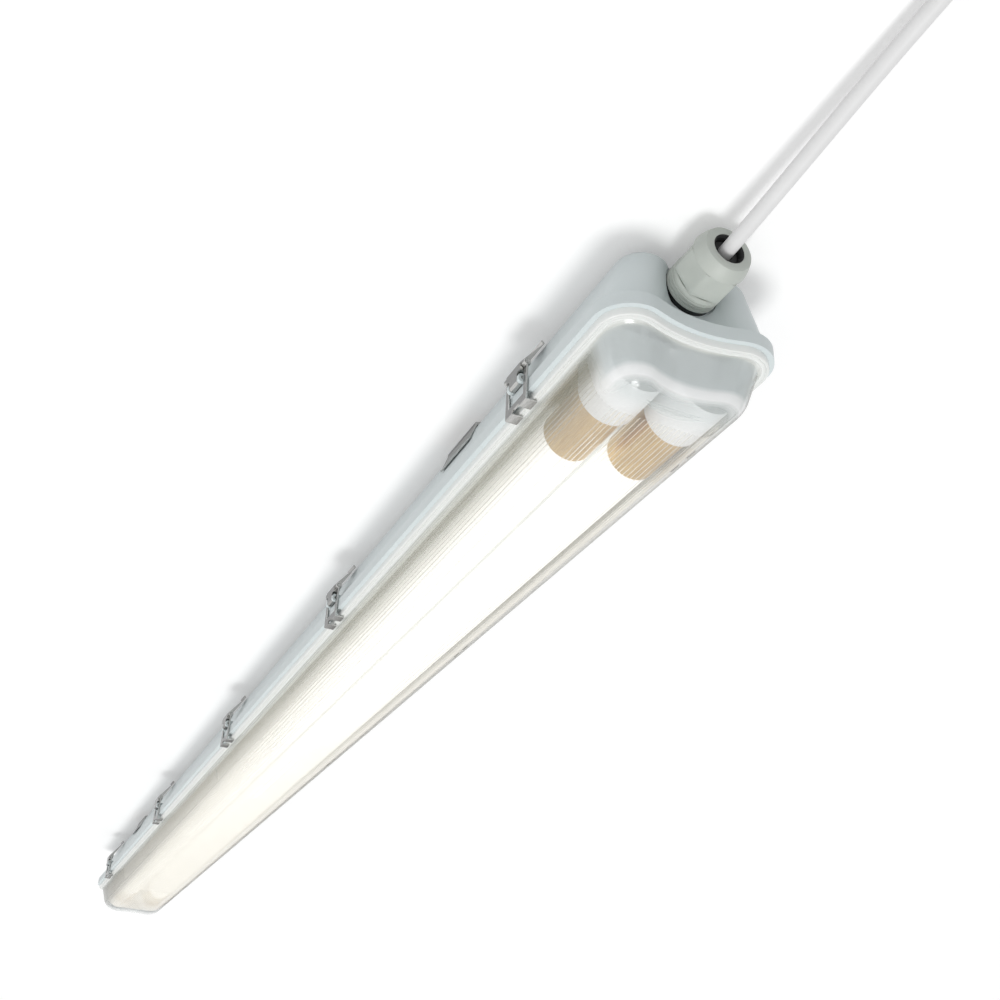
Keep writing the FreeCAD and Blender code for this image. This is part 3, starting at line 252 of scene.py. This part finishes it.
plasticLooks = {
    "greyPolycarbonate": {"low": "#cfd8d9", "high": "#dae2e3", "cloud": 60,
                          "grain": 0.35, "relief": 0.10, "rough": 0.42, "ior": 1.58},
    "greyNylon": {"low": "#b4bab4", "high": "#c1c6bf", "cloud": 9,
                  "grain": 0.3, "relief": 0.15, "rough": 0.48, "ior": 1.53},
    "whiteNylon": {"low": "#e9ebec", "high": "#f2f3f4", "cloud": 12,
                   "grain": 0.3, "relief": 0.08, "rough": 0.4, "ior": 1.53},
    "powderCoat": {"low": "#eceeed", "high": "#f3f4f3", "cloud": 30,
                   "grain": 0.6, "relief": 0.12, "rough": 0.38, "ior": 1.5},
    "blackRubber": {"low": "#070808", "high": "#101111", "cloud": 5,
                    "grain": 0.25, "relief": 0.2, "rough": 0.62, "ior": 1.5},
    "whiteRubber": {"low": "#dcdcda", "high": "#e5e5e3", "cloud": 5,
                    "grain": 0.25, "relief": 0.15, "rough": 0.55, "ior": 1.5},
    "whitePvc": {"low": "#dedede", "high": "#e8e8e8", "cloud": 14,
                 "grain": 0.4, "relief": 0.08, "rough": 0.35, "ior": 1.53},
    "whiteAbs": {"low": "#e6e7e6", "high": "#eeefee", "cloud": 25,
                 "grain": 0.3, "relief": 0.1, "rough": 0.4, "ior": 1.53},
}
# the last three values of each metal set its painted dark reflection at a glance
metalLooks = {
    "rolledStainless": {"low": "#9a9a98", "high": "#dededc", "stretch": (0.12, 1, 1), "streak": 0.5,
                        "relief": 0.05, "rough": 0.18, "paintedReflectionStart": 0.42,
                        "paintedReflection": 0.85, "paintedReflectionColour": "#2c2c2e"},
    "zincPlatedSteel": {"low": "#9fa2a4", "high": "#bfc2c4", "stretch": (1, 1, 0.5), "streak": 0.6,
                        "relief": 0.05, "rough": 0.33, "paintedReflectionStart": 0.6,
                        "paintedReflection": 0.5, "paintedReflectionColour": "#505254"},
    "goldLacqueredCap": {"low": "#b08a4e", "high": "#e2c68c", "stretch": (0.08, 1, 1),
                         "streak": 0.8, "relief": 0.03, "rough": 0.36, "paintedReflectionStart": 0.6,
                         "paintedReflection": 0.5, "paintedReflectionColour": "#8d7448"},
    "turnedBrass": {"low": "#b9974f", "high": "#d8bb74", "stretch": (1, 0.3, 0.3), "streak": 0.4,
                    "relief": 0.04, "rough": 0.28, "paintedReflectionStart": 0.6,
                    "paintedReflection": 0.5, "paintedReflectionColour": "#6f5828"},
}
shellLook = {
    # along the sides, the olive-grey stops from -60.5 to -50.5 are painted shade: the shaded inside
    # seen through the side walls
    "alongStops": [(-74.5, "#f4f4f1", 0.10), (-66, "#f0efe8", 0.12), (-60.5, "#dddbd0", 0.18),
                   (-56, "#a9a796", 0.28), (-50.5, "#b7b5a4", 0.30), (-49.4, "#e9ebe6", 0.5),
                   (-48.4, "#f4f6f4", 0.93)],
    # at the ends, the white stops from -69.2 to -66.6 are a painted highlight along the foot
    "endStops": [(-74.5, "#d2d8d6", 0.26), (-70.6, "#d6dcda", 0.30), (-69.2, "#fbfcfc", 0.60),
                 (-66.6, "#fbfcfc", 0.60), (-64.6, "#dfe6e6", 0.46), (-50, "#e3e9e9", 0.50),
                 (-49.2, "#e9ebe6", 0.6), (-48.4, "#f4f6f4", 0.93)],
    "tipStart": 600, "tipEnd": 612, "edgeBlend": 0.35, "edgeStart": 0.44, "edgeEnd": 0.74,
    "sideStart": 27, "sideEnd": 33, "floorShare": 0.12,
    # painted shade where the shell is seen at a glance, below the rim
    "glancePaintFull": -51, "glancePaintNone": -49, "glancePaintSpan": 0.25,
    "glanceCover": 0.82, "paintedGlanceColour": "#807e73", "rough": 0.12, "ior": 1.58,
    "peel": 9, "relief": 0.03,
}
# on the prisms, the olive-grey stops from -60.5 up are painted shade of the inside seen through,
# and the near-white tone at a glance is a painted highlight
prismLook = dict(shellLook, alongStops=[
    (-74.5, "#fbf9f2", 0.06), (-66, "#f6f4ea", 0.10), (-60.5, "#d9d7c9", 0.16),
    (-56, "#a3a08e", 0.24), (-48, "#9a9886", 0.28)],
    edgeStart=0.40, edgeEnd=0.66, glanceCover=0.78, paintedGlanceColour="#f6f1e4", floorShare=1.0)
opalLook = {"low": "#f3f3f1", "high": "#f9f9f8", "glow": "#fffdf9", "power": 0.4,
            "cloud": 40, "rough": 0.25, "ior": 1.5}

finishes = {name: mouldedPlastic(name, look) for name, look in plasticLooks.items()}
finishes.update({name: rolledMetal(name, look) for name, look in metalLooks.items()})
finishes["clearPolycarbonate"] = clearPolycarbonate("clearPolycarbonate", shellLook)
finishes["prismPolycarbonate"] = clearPolycarbonate("prismPolycarbonate", prismLook)
finishes["opalGlass"] = opalGlass("opalGlass", opalLook)

nodeFinish = {
    "housing": "greyPolycarbonate", "cover": "clearPolycarbonate", "gasket": "blackRubber",
    "gear_tray": "powderCoat", "control_gear": "powderCoat", "tray_screws": "zincPlatedSteel",
    "terminal_block": "whiteNylon", "internal_wiring": "whitePvc", "gland_body": "greyNylon",
    "gland_nut": "greyNylon", "gland_seal": "blackRubber", "gland_insert": "blackRubber",
    "supply_cable": "whitePvc", "ceiling_box_base": "whiteAbs", "ceiling_box_lid": "whiteAbs",
    "ceiling_box_grommet": "whiteRubber", "ceiling_box_screws": "zincPlatedSteel",
    "clip_pins": "rolledStainless", "bracket_near": "rolledStainless",
    "bracket_far": "rolledStainless",
    "tube_left": "opalGlass", "tube_right": "opalGlass",
}
for name, node in nodes.items():
    if name in nodeFinish:
        chosen = nodeFinish[name]
    elif name.startswith("clip_"):
        chosen = "rolledStainless"
    elif "_cap_" in name:
        chosen = "goldLacqueredCap"
    elif name.endswith("_pins"):
        chosen = "turnedBrass"
    else:
        chosen = "whiteNylon"
    node.data.materials.clear()
    node.data.materials.append(finishes[chosen])
print("materials:", len(finishes))


# pressed and turned pieces: sheared edges are slightly round
edgeSettings = {
    "merge": 0.001 * mm, "segments": 2, "sharperThan": 32,
    "round": {"clip_": 0.28 * mm, "bracket_": 0.22 * mm, "lampholder_": 0.5 * mm,
              "control_gear": 0.8 * mm, "terminal_block": 0.5 * mm, "ceiling_box_": 0.7 * mm},
}


def roundEdges(settings):
    for name, node in nodes.items():
        width = next((w for start, w in settings["round"].items() if name.startswith(start)), None)
        if width is None:
            continue
        weld = node.modifiers.new("weld", "WELD")
        weld.merge_threshold = settings["merge"]
        bevel = node.modifiers.new("round", "BEVEL")
        bevel.width = width
        bevel.segments = settings["segments"]
        bevel.limit_method = "ANGLE"
        bevel.angle_limit = math.radians(settings["sharperThan"])
        bevel.use_clamp_overlap = True


roundEdges(edgeSettings)
print("edges rounded")


# shared shape helpers
def lobedOutline(length, width, corner, dip, counts):
    # long outline with two round lobes at each end, from the near hollow round by +Y
    halfX, halfY = length / 2 - corner, width / 2
    lobeY = halfY - corner
    hollow = (dip ** 2 + lobeY ** 2) / (2 * dip) - corner
    centreX = length / 2 - dip + hollow
    turn = math.atan2(lobeY, centreX - halfX)
    quarter = []
    for i in range(counts["hollow"] + 1):
        a = turn * i / counts["hollow"]
        quarter.append((centreX - hollow * math.cos(a), hollow * math.sin(a)))
    for i in range(1, counts["lobe"] + 1):
        a = -turn + (turn + math.pi / 2) * i / counts["lobe"]
        quarter.append((halfX + corner * math.cos(a), lobeY + corner * math.sin(a)))
    for i in range(1, counts["side"] + 1):
        quarter.append((halfX * (1 - i / counts["side"]), halfY))
    upper = quarter + [(-x, y) for x, y in quarter[-2::-1]]
    return upper + [(x, -y) for x, y in upper[-2:0:-1]]


def addMesh(name, points, faces, finish, sharp=35):
    mesh = bpy.data.meshes.new(name)
    mesh.from_pydata([tuple(v * mm for v in p) for p in points], [], faces)
    made = bmesh.new()
    made.from_mesh(mesh)
    bmesh.ops.recalc_face_normals(made, faces=made.faces)
    made.to_mesh(mesh)
    made.free()
    mesh.shade_smooth()
    mesh.set_sharp_from_angle(angle=math.radians(sharp))
    mesh.materials.append(finishes[finish])
    piece = bpy.data.objects.new(name, mesh)
    scene.collection.objects.link(piece)
    return piece


def joinRings(rings, closed):
    # quads between neighbouring rings of one point count
    points = [p for ring in rings for p in ring]
    count = len(rings[0])
    faces = []
    spans = len(rings) if closed else len(rings) - 1
    for i in range(spans):
        j = (i + 1) % len(rings)
        for k in range(count):
            n = (k + 1) % count
            faces.append((i * count + k, i * count + n, j * count + n, j * count + k))
    return points, faces


def closeFlat(faces, start, count):
    # a flat end across a ring that is mirrored about its first and middle points
    half = count // 2
    faces.append((start, start + 1, start + count - 1))
    for i in range(1, half - 1):
        faces.append((start + i, start + i + 1, start + count - i - 1, start + count - i))
    faces.append((start + half - 1, start + half, start + half + 1))


# cover: a lobed bowl with a double bead round its rim and prisms along its inside
coverSettings = {
    "length": 1275, "width": 91.5, "corner": 18.4, "dip": 4.5, "rim": -44.6, "depth": 29.9,
    "wall": 1.8, "round": 11.7, "step": 5.1, "draft": 9, "rimInset": 2.5, "rimHeight": 4,
    "tongue": {"inner": 3.3, "outer": 5.9, "rise": 2.0},
    "counts": {"hollow": 9, "lobe": 12, "side": 10}, "footSteps": 12, "sharp": 28,
    "prismLength": 1196, "prismHeight": 0.9, "prismCounts": (8, 8, 5), "prismClear": 3,
    # the rim's face below, as inset and height: two round beads with a fine groove between them
    "beads": [(6.05, -0.1), (5.85, 0.25), (4.9, 0.05), (4.55, 0.0), (4.2, 0.12), (3.95, 0.6),
              (3.7, 0.12), (3.3, 0.0), (2.9, 0.1), (2.62, 0.4), (2.5, 0.9)],
    "beadDrop": 0.8,
}


def bowlInset(c, angle, wall):
    lean = c["draft"] * (1 - c["round"] / c["depth"] * (1 - math.sin(angle)))
    return c["step"] + wall + lean + (c["round"] - wall) * (1 - math.cos(angle))


def bowlHeight(c, angle, wall):
    return c["rim"] - c["depth"] + c["round"] - (c["round"] - wall) * math.sin(angle)


def ringAt(c, inset, corner, z):
    length, width = c["length"] - 2 * inset, c["width"] - 2 * inset
    return [(x, y, z) for x, y in lobedOutline(length, width, corner, c["dip"], c["counts"])]


def bowlRing(c, inset, z):
    # the bowl's corners tighten towards its floor
    return ringAt(c, inset, c["corner"] * (1 - inset / (c["width"] / 2 - c["round"])), z)


def rimRing(c, inset, z):
    return ringAt(c, inset, c["corner"] - inset, z)


def coverRings(c):
    steps = c["footSteps"]
    angles = [math.pi / 2 * (1 - i / steps) for i in range(steps + 1)]
    rings = [bowlRing(c, bowlInset(c, a, 0), bowlHeight(c, a, 0)) for a in angles]
    low = c["rim"] - c["rimHeight"]
    share = (c["rimHeight"] + c["beadDrop"]) / (c["depth"] - c["round"])
    fromStep = c["step"] + (bowlInset(c, 0, 0) - c["step"]) * share
    rings.append(bowlRing(c, fromStep, low - c["beadDrop"]))
    rings += [rimRing(c, inset, low + z) for inset, z in c["beads"]]
    inner, outer, high = (c["tongue"][key] for key in ("inner", "outer", "rise"))
    rings += [rimRing(c, c["rimInset"], c["rim"]), rimRing(c, inner, c["rim"]),
              rimRing(c, inner, c["rim"] + high), rimRing(c, outer, c["rim"] + high),
              rimRing(c, outer, c["rim"]), bowlRing(c, c["step"] + c["wall"], c["rim"])]
    rings += [bowlRing(c, bowlInset(c, a, c["wall"]), bowlHeight(c, a, c["wall"]))
              for a in angles[::-1]]
    return rings


def prismValleys(c):
    flat = c["width"] / 2 - bowlInset(c, math.pi / 2, c["wall"])
    floorCount, cornerCount, sideCount = c["prismCounts"]
    points = [(flat * i / floorCount, bowlHeight(c, math.pi / 2, c["wall"]))
              for i in range(floorCount)]
    for i in range(cornerCount):
        a = math.pi / 2 * (1 - i / cornerCount)
        points.append((c["width"] / 2 - bowlInset(c, a, c["wall"]), bowlHeight(c, a, c["wall"])))
    low = c["width"] / 2 - bowlInset(c, 0, c["wall"])
    climb = c["depth"] - c["round"] - c["rimHeight"] - c["prismClear"]
    for i in range(sideCount + 1):
        share = climb * i / sideCount
        points.append((low + share * c["draft"] / c["depth"], bowlHeight(c, 0, c["wall"]) + share))
    return points


def prismTree():
    # one three-sided bar, set on every point of the path, leaned and widened by its attributes
    tree = bpy.data.node_groups.new("prismRow", "GeometryNodeTree")
    face = tree.interface
    face.new_socket("Geometry", in_out="INPUT", socket_type="NodeSocketGeometry")
    for name in ("Bar Length", "Bar Height"):
        face.new_socket(name, in_out="INPUT", socket_type="NodeSocketFloat")
    face.new_socket("Finish", in_out="INPUT", socket_type="NodeSocketMaterial")
    face.new_socket("Geometry", in_out="OUTPUT", socket_type="NodeSocketGeometry")
    source = addNode(tree, "NodeGroupInput")
    bar = addNode(tree, "GeometryNodeMeshCylinder", {"Vertices": 3, "Radius": 1.0},
                  {"Depth": source.outputs["Bar Length"]})
    lie = addNode(tree, "GeometryNodeTransform", {
        "Rotation": (0, -math.pi / 2, 0), "Translation": (0, 0, 0.5)},
        {"Geometry": bar.outputs["Mesh"]})
    tilt, pitch = (addNode(tree, "GeometryNodeInputNamedAttribute",
                           {"data_type": "FLOAT", "Name": key}) for key in ("tilt", "pitch"))
    # a triangle round a circle of radius 1 is sqrt(3) wide and 1.5 high
    wide = addNode(tree, "ShaderNodeMath", {"operation": "DIVIDE", 1: math.sqrt(3)},
                   {0: pitch.outputs[0]})
    tall = addNode(tree, "ShaderNodeMath", {"operation": "DIVIDE", 1: 1.5},
                   {0: source.outputs["Bar Height"]})
    size = addNode(tree, "ShaderNodeCombineXYZ", {"X": 1.0},
                   {"Y": wide.outputs[0], "Z": tall.outputs[0]})
    lean = addNode(tree, "ShaderNodeCombineXYZ", links={"X": tilt.outputs[0]})
    row = addNode(tree, "GeometryNodeInstanceOnPoints", links={
        "Points": source.outputs["Geometry"], "Instance": lie.outputs["Geometry"],
        "Rotation": lean.outputs[0], "Scale": size.outputs[0]})
    real = addNode(tree, "GeometryNodeRealizeInstances",
                   links={"Geometry": row.outputs["Instances"]})
    done = addNode(tree, "GeometryNodeSetMaterial", links={
        "Geometry": real.outputs["Geometry"], "Material": source.outputs["Finish"]})
    addNode(tree, "NodeGroupOutput", links={"Geometry": done.outputs["Geometry"]})
    return tree


def bakedRow(name, points, attributes, tree, inputs):
    # points with their attributes, run through a tree and kept as a plain mesh
    mesh = bpy.data.meshes.new(name)
    mesh.from_pydata(points, [], [])
    for key, values in attributes.items():
        layer = mesh.attributes.new(key, "FLOAT", "POINT")
        for i, value in enumerate(values):
            layer.data[i].value = value
    helper = bpy.data.objects.new(name, mesh)
    scene.collection.objects.link(helper)
    modifier = helper.modifiers.new(name, "NODES")
    modifier.node_group = tree
    for item in tree.interface.items_tree:
        if item.item_type == "SOCKET" and item.in_out == "INPUT" and item.name in inputs:
            modifier[item.identifier] = inputs[item.name]
    graph = bpy.context.evaluated_depsgraph_get()
    baked = bpy.data.meshes.new_from_object(helper.evaluated_get(graph))
    bpy.data.objects.remove(helper)
    return baked


def makeCover(c):
    rings = coverRings(c)
    points, faces = joinRings(rings, False)
    count = len(rings[0])
    closeFlat(faces, 0, count)
    closeFlat(faces, (len(rings) - 1) * count, count)
    cover = addMesh("clearCover", points, faces, "clearPolycarbonate", c["sharp"])
    valleys = prismValleys(c)
    spots, tilts, widths = [], [], []
    for (y0, z0), (y1, z1) in zip(valleys, valleys[1:]):
        for side in (1, -1):
            spots.append((0, side * (y0 + y1) / 2 * mm, (z0 + z1) / 2 * mm))
            tilts.append(side * math.atan2(z1 - z0, y1 - y0))
            widths.append(math.hypot(y1 - y0, z1 - z0) * mm)
    prisms = bakedRow("prismRow", spots, {"tilt": tilts, "pitch": widths}, prismTree(), {
        "Bar Length": c["prismLength"] * mm, "Bar Height": c["prismHeight"] * mm,
        "Finish": finishes["prismPolycarbonate"]})
    joined = bmesh.new()
    joined.from_mesh(cover.data)
    shellFaces = len(joined.faces)
    joined.from_mesh(prisms)
    joined.to_mesh(cover.data)
    joined.free()
    cover.data.materials.append(finishes["prismPolycarbonate"])
    for face in cover.data.polygons[shellFaces:]:
        face.material_index = 1
        face.use_smooth = False
    cover.visible_shadow = False  # light passes the real cover
    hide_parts("cover")
    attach(cover, "light_body")


makeCover(coverSettings)
print("cover moulded")


# gasket: a foamed cord in the groove of the rim
gasketSettings = {"inset": 3.25, "width": 2.7, "low": -42.75, "high": -40.85, "crown": 0.25,
                  "cornerIn": 0.5, "cornerRise": 0.06}


def makeGasket(g, c):
    low, high = g["low"], g["high"]
    left, right = g["inset"], g["inset"] + g["width"]
    inward, corner = g["cornerIn"], low + g["cornerRise"]
    profile = [(left, high), (left, low + g["crown"]), (left + inward, corner),
               (left + g["width"] / 2, low), (right - inward, corner),
               (right, low + g["crown"]), (right, high)]
    points, faces = joinRings([rimRing(c, inset, z) for inset, z in profile], True)
    gasket = addMesh("foamGasket", points, faces, "whiteRubber")
    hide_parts("gasket")
    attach(gasket, "light_body")


makeGasket(gasketSettings, coverSettings)
print("gasket laid")


# gland nut: a turned dome with six flats that end in small shoulders
nutSettings = {
    "start": 636.8, "length": 21.7, "axis": -17.3, "apothem": 12.75, "corner": 14.6, "blend": 0.5,
    "shoulder": 14.2, "front": 11.3, "mouth": 6.5, "depth": 9, "around": 120,
    "dome": 13.9, "domeStart": 3, "domePower": 2.2, "backRound": 0.9, "inside": 10.5,
    "stations": [0, 0.2, 0.45, 0.9, 3, 6, 9], "stepBack": 0.5, "step": 0.02,
    "domeFrom": 0.4, "domeTo": 0.5, "domeSteps": 9,
    # the front lip, as distance back from the front face and radius
    "lip": [(0.15, 10.6), (0, 9.7), (0, 8.2), (0.2, 7.7), (2.2, 6.5)],
}


def nutRadius(n, t, angle):
    # envelope of the dome, and flats behind the shoulder
    start = n["domeStart"]
    rise = max(0.0, (t - n["shoulder"] + start) / (n["length"] - n["shoulder"] + start))
    dome = n["dome"] - (n["dome"] - n["front"]) * rise ** n["domePower"]
    if t > n["shoulder"]:
        return dome
    sector = (angle + math.pi / 6) % (math.pi / 3) - math.pi / 6
    flat = n["apothem"] / math.cos(sector)
    soft = n["blend"]
    low = -soft * math.log(math.exp(-flat / soft) + math.exp(-n["corner"] / soft))
    back = n["backRound"] * max(0.0, 1 - t / n["backRound"]) ** 2
    return low - back


def makeNut(n):
    shoulder, step, last = n["shoulder"], n["step"], n["domeSteps"]
    stations = n["stations"] + [shoulder - n["stepBack"], shoulder - step, shoulder + step]
    low, high = shoulder + n["domeFrom"], n["length"] - n["domeTo"]
    stations += [low + (high - low) * i / last for i in range(last + 1)]
    rings = []

    def ring(t, radii):
        return [(n["start"] + t, r * math.sin(a), n["axis"] + r * math.cos(a)) for a, r in radii]

    angles = [2 * math.pi * i / n["around"] for i in range(n["around"])]
    for t in stations:
        rings.append(ring(t, [(a, nutRadius(n, t, a)) for a in angles]))
    for back, r in n["lip"]:
        rings.append(ring(n["length"] - back, [(a, r) for a in angles]))
    boreStart = len(rings) - 2
    floor = n["length"] - n["depth"]
    for t, r in ((floor, n["mouth"]), (floor, n["inside"]), (0, n["inside"])):
        rings.append(ring(t, [(a, r) for a in angles]))
    points, faces = joinRings(rings, True)
    nut = addMesh("domeNut", points, faces, "greyNylon", 40)
    # the mouth's inner faces take the black rubber finish: partly the black seal just inside,
    # partly painted shade deep in the mouth
    nut.data.materials.append(finishes["blackRubber"])
    for face in nut.data.polygons[boreStart * n["around"]:(boreStart + 3) * n["around"]]:
        face.material_index = 1
    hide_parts("gland_nut")
    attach(nut, "light_body")


makeNut(nutSettings)
print("nut turned")


# supply cable: out of the gland and straight up to the box on the ceiling
cableSettings = {
    "radius": 3.5 * mm,
    "route": [(0.6479, 0, -0.0173), (0.6639, 0, -0.0173),
              (0.7959, -0.0024, -0.0066), (0.8459, -0.0024, -0.0066)],
    "length": 0.1986,
}


def makeCable(settings):
    curve = bpy.data.curves.new("supplyCable", "CURVE")
    curve.dimensions = "3D"
    curve.bevel_depth = settings["radius"]
    curve.bevel_resolution = 6
    curve.use_fill_caps = True
    spline = curve.splines.new("NURBS")
    spline.points.add(len(settings["route"]) - 1)
    for point, place in zip(spline.points, settings["route"]):
        point.co = (*place, 1)
    spline.order_u = 3
    spline.use_endpoint_u = True
    spline.resolution_u = 24
    cable = bpy.data.objects.new("supplyCable", curve)
    scene.collection.objects.link(cable)
    curve.materials.append(finishes["whitePvc"])
    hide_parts("supply_cable")
    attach(cable, "light_body")


makeCable(cableSettings)
print("cable laid")


# ceiling, lamps and surroundings
stageSettings = {
    "reach": 6.0, "ceilingBase": 0.80, "ceilingGlow": 0.26, "gap": 0.3 * mm,
    "worldLevel": 0.50, "keyPower": 1.35, "keyPlace": (0.05, -0.1, -2.0), "keySpread": 0.34,
    "fillPower": 5, "fillPlace": (1.2, -1.6, -1.2), "fillSize": 1.6,
}


def seenShare(tree):
    # 1 for a ray from the camera, straight, through glass or by a mirror, and 0 for stray light
    path = addNode(tree, "ShaderNodeLightPath")
    straight = addNode(tree, "ShaderNodeMath", {"operation": "MAXIMUM"}, {
        0: path.outputs["Is Camera Ray"], 1: path.outputs["Is Transmission Ray"]})
    share = addNode(tree, "ShaderNodeMath", {"operation": "MAXIMUM"}, {
        0: straight.outputs[0], 1: path.outputs["Is Glossy Ray"]})
    return share.outputs[0]


def makeStage(settings):
    mesh = bpy.data.meshes.new("ceiling")
    r, z = settings["reach"], settings["gap"]
    mesh.from_pydata([(-r, -r, z), (-r, r, z), (r, r, z), (r, -r, z)], [], [(0, 1, 2, 3)])
    ceiling = bpy.data.objects.new("ceiling", mesh)
    scene.collection.objects.link(ceiling)
    material, tree = startMaterial("whitePaintedCeiling")
    base = settings["ceilingBase"]
    paint = addNode(tree, "ShaderNodeBsdfDiffuse", {"Color": (base, base, base, 1)})
    level = addNode(tree, "ShaderNodeMath", {
        "operation": "MULTIPLY", 1: settings["ceilingGlow"]}, {0: seenShare(tree)})
    glow = addNode(tree, "ShaderNodeEmission", links={"Strength": level.outputs[0]})
    both = addNode(tree, "ShaderNodeAddShader", links={0: paint.outputs[0], 1: glow.outputs[0]})
    side = addNode(tree, "ShaderNodeNewGeometry")
    clear = addNode(tree, "ShaderNodeBsdfTransparent")
    choose = addNode(tree, "ShaderNodeMixShader", links={
        0: side.outputs["Backfacing"], 1: both.outputs[0], 2: clear.outputs[0]})
    endMaterial(tree, choose)
    mesh.materials.append(material)

    world = bpy.data.worlds.new("studio")
    scene.world = world
    world.use_nodes = True
    tree = world.node_tree
    tree.nodes.clear()
    dim, bright = (addNode(tree, "ShaderNodeBackground", {"Color": (1, 1, 1, 1), "Strength": level})
                   for level in (settings["worldLevel"], 1.0))
    blend = addNode(tree, "ShaderNodeMixShader", links={
        0: seenShare(tree), 1: dim.outputs[0], 2: bright.outputs[0]})
    addNode(tree, "ShaderNodeOutputWorld", links={"Surface": blend.outputs[0]})

    for lampName, kind in (("key", "SUN"), ("fill", "AREA")):
        data = bpy.data.lights.new(lampName + "Lamp", kind)
        data.energy = settings[lampName + "Power"]
        if kind == "SUN":
            data.angle = settings["keySpread"]
        else:
            data.size = settings["fillSize"]
        lamp = bpy.data.objects.new(lampName + "Lamp", data)
        scene.collection.objects.link(lamp)
        place = Vector(settings[lampName + "Place"])
        turn = place.to_track_quat("Z", "Y").to_matrix().to_4x4()
        lamp.matrix_world = Matrix.Translation(place) @ turn


makeStage(stageSettings)
scene.view_settings.view_transform = "Standard"
print("stage lit")
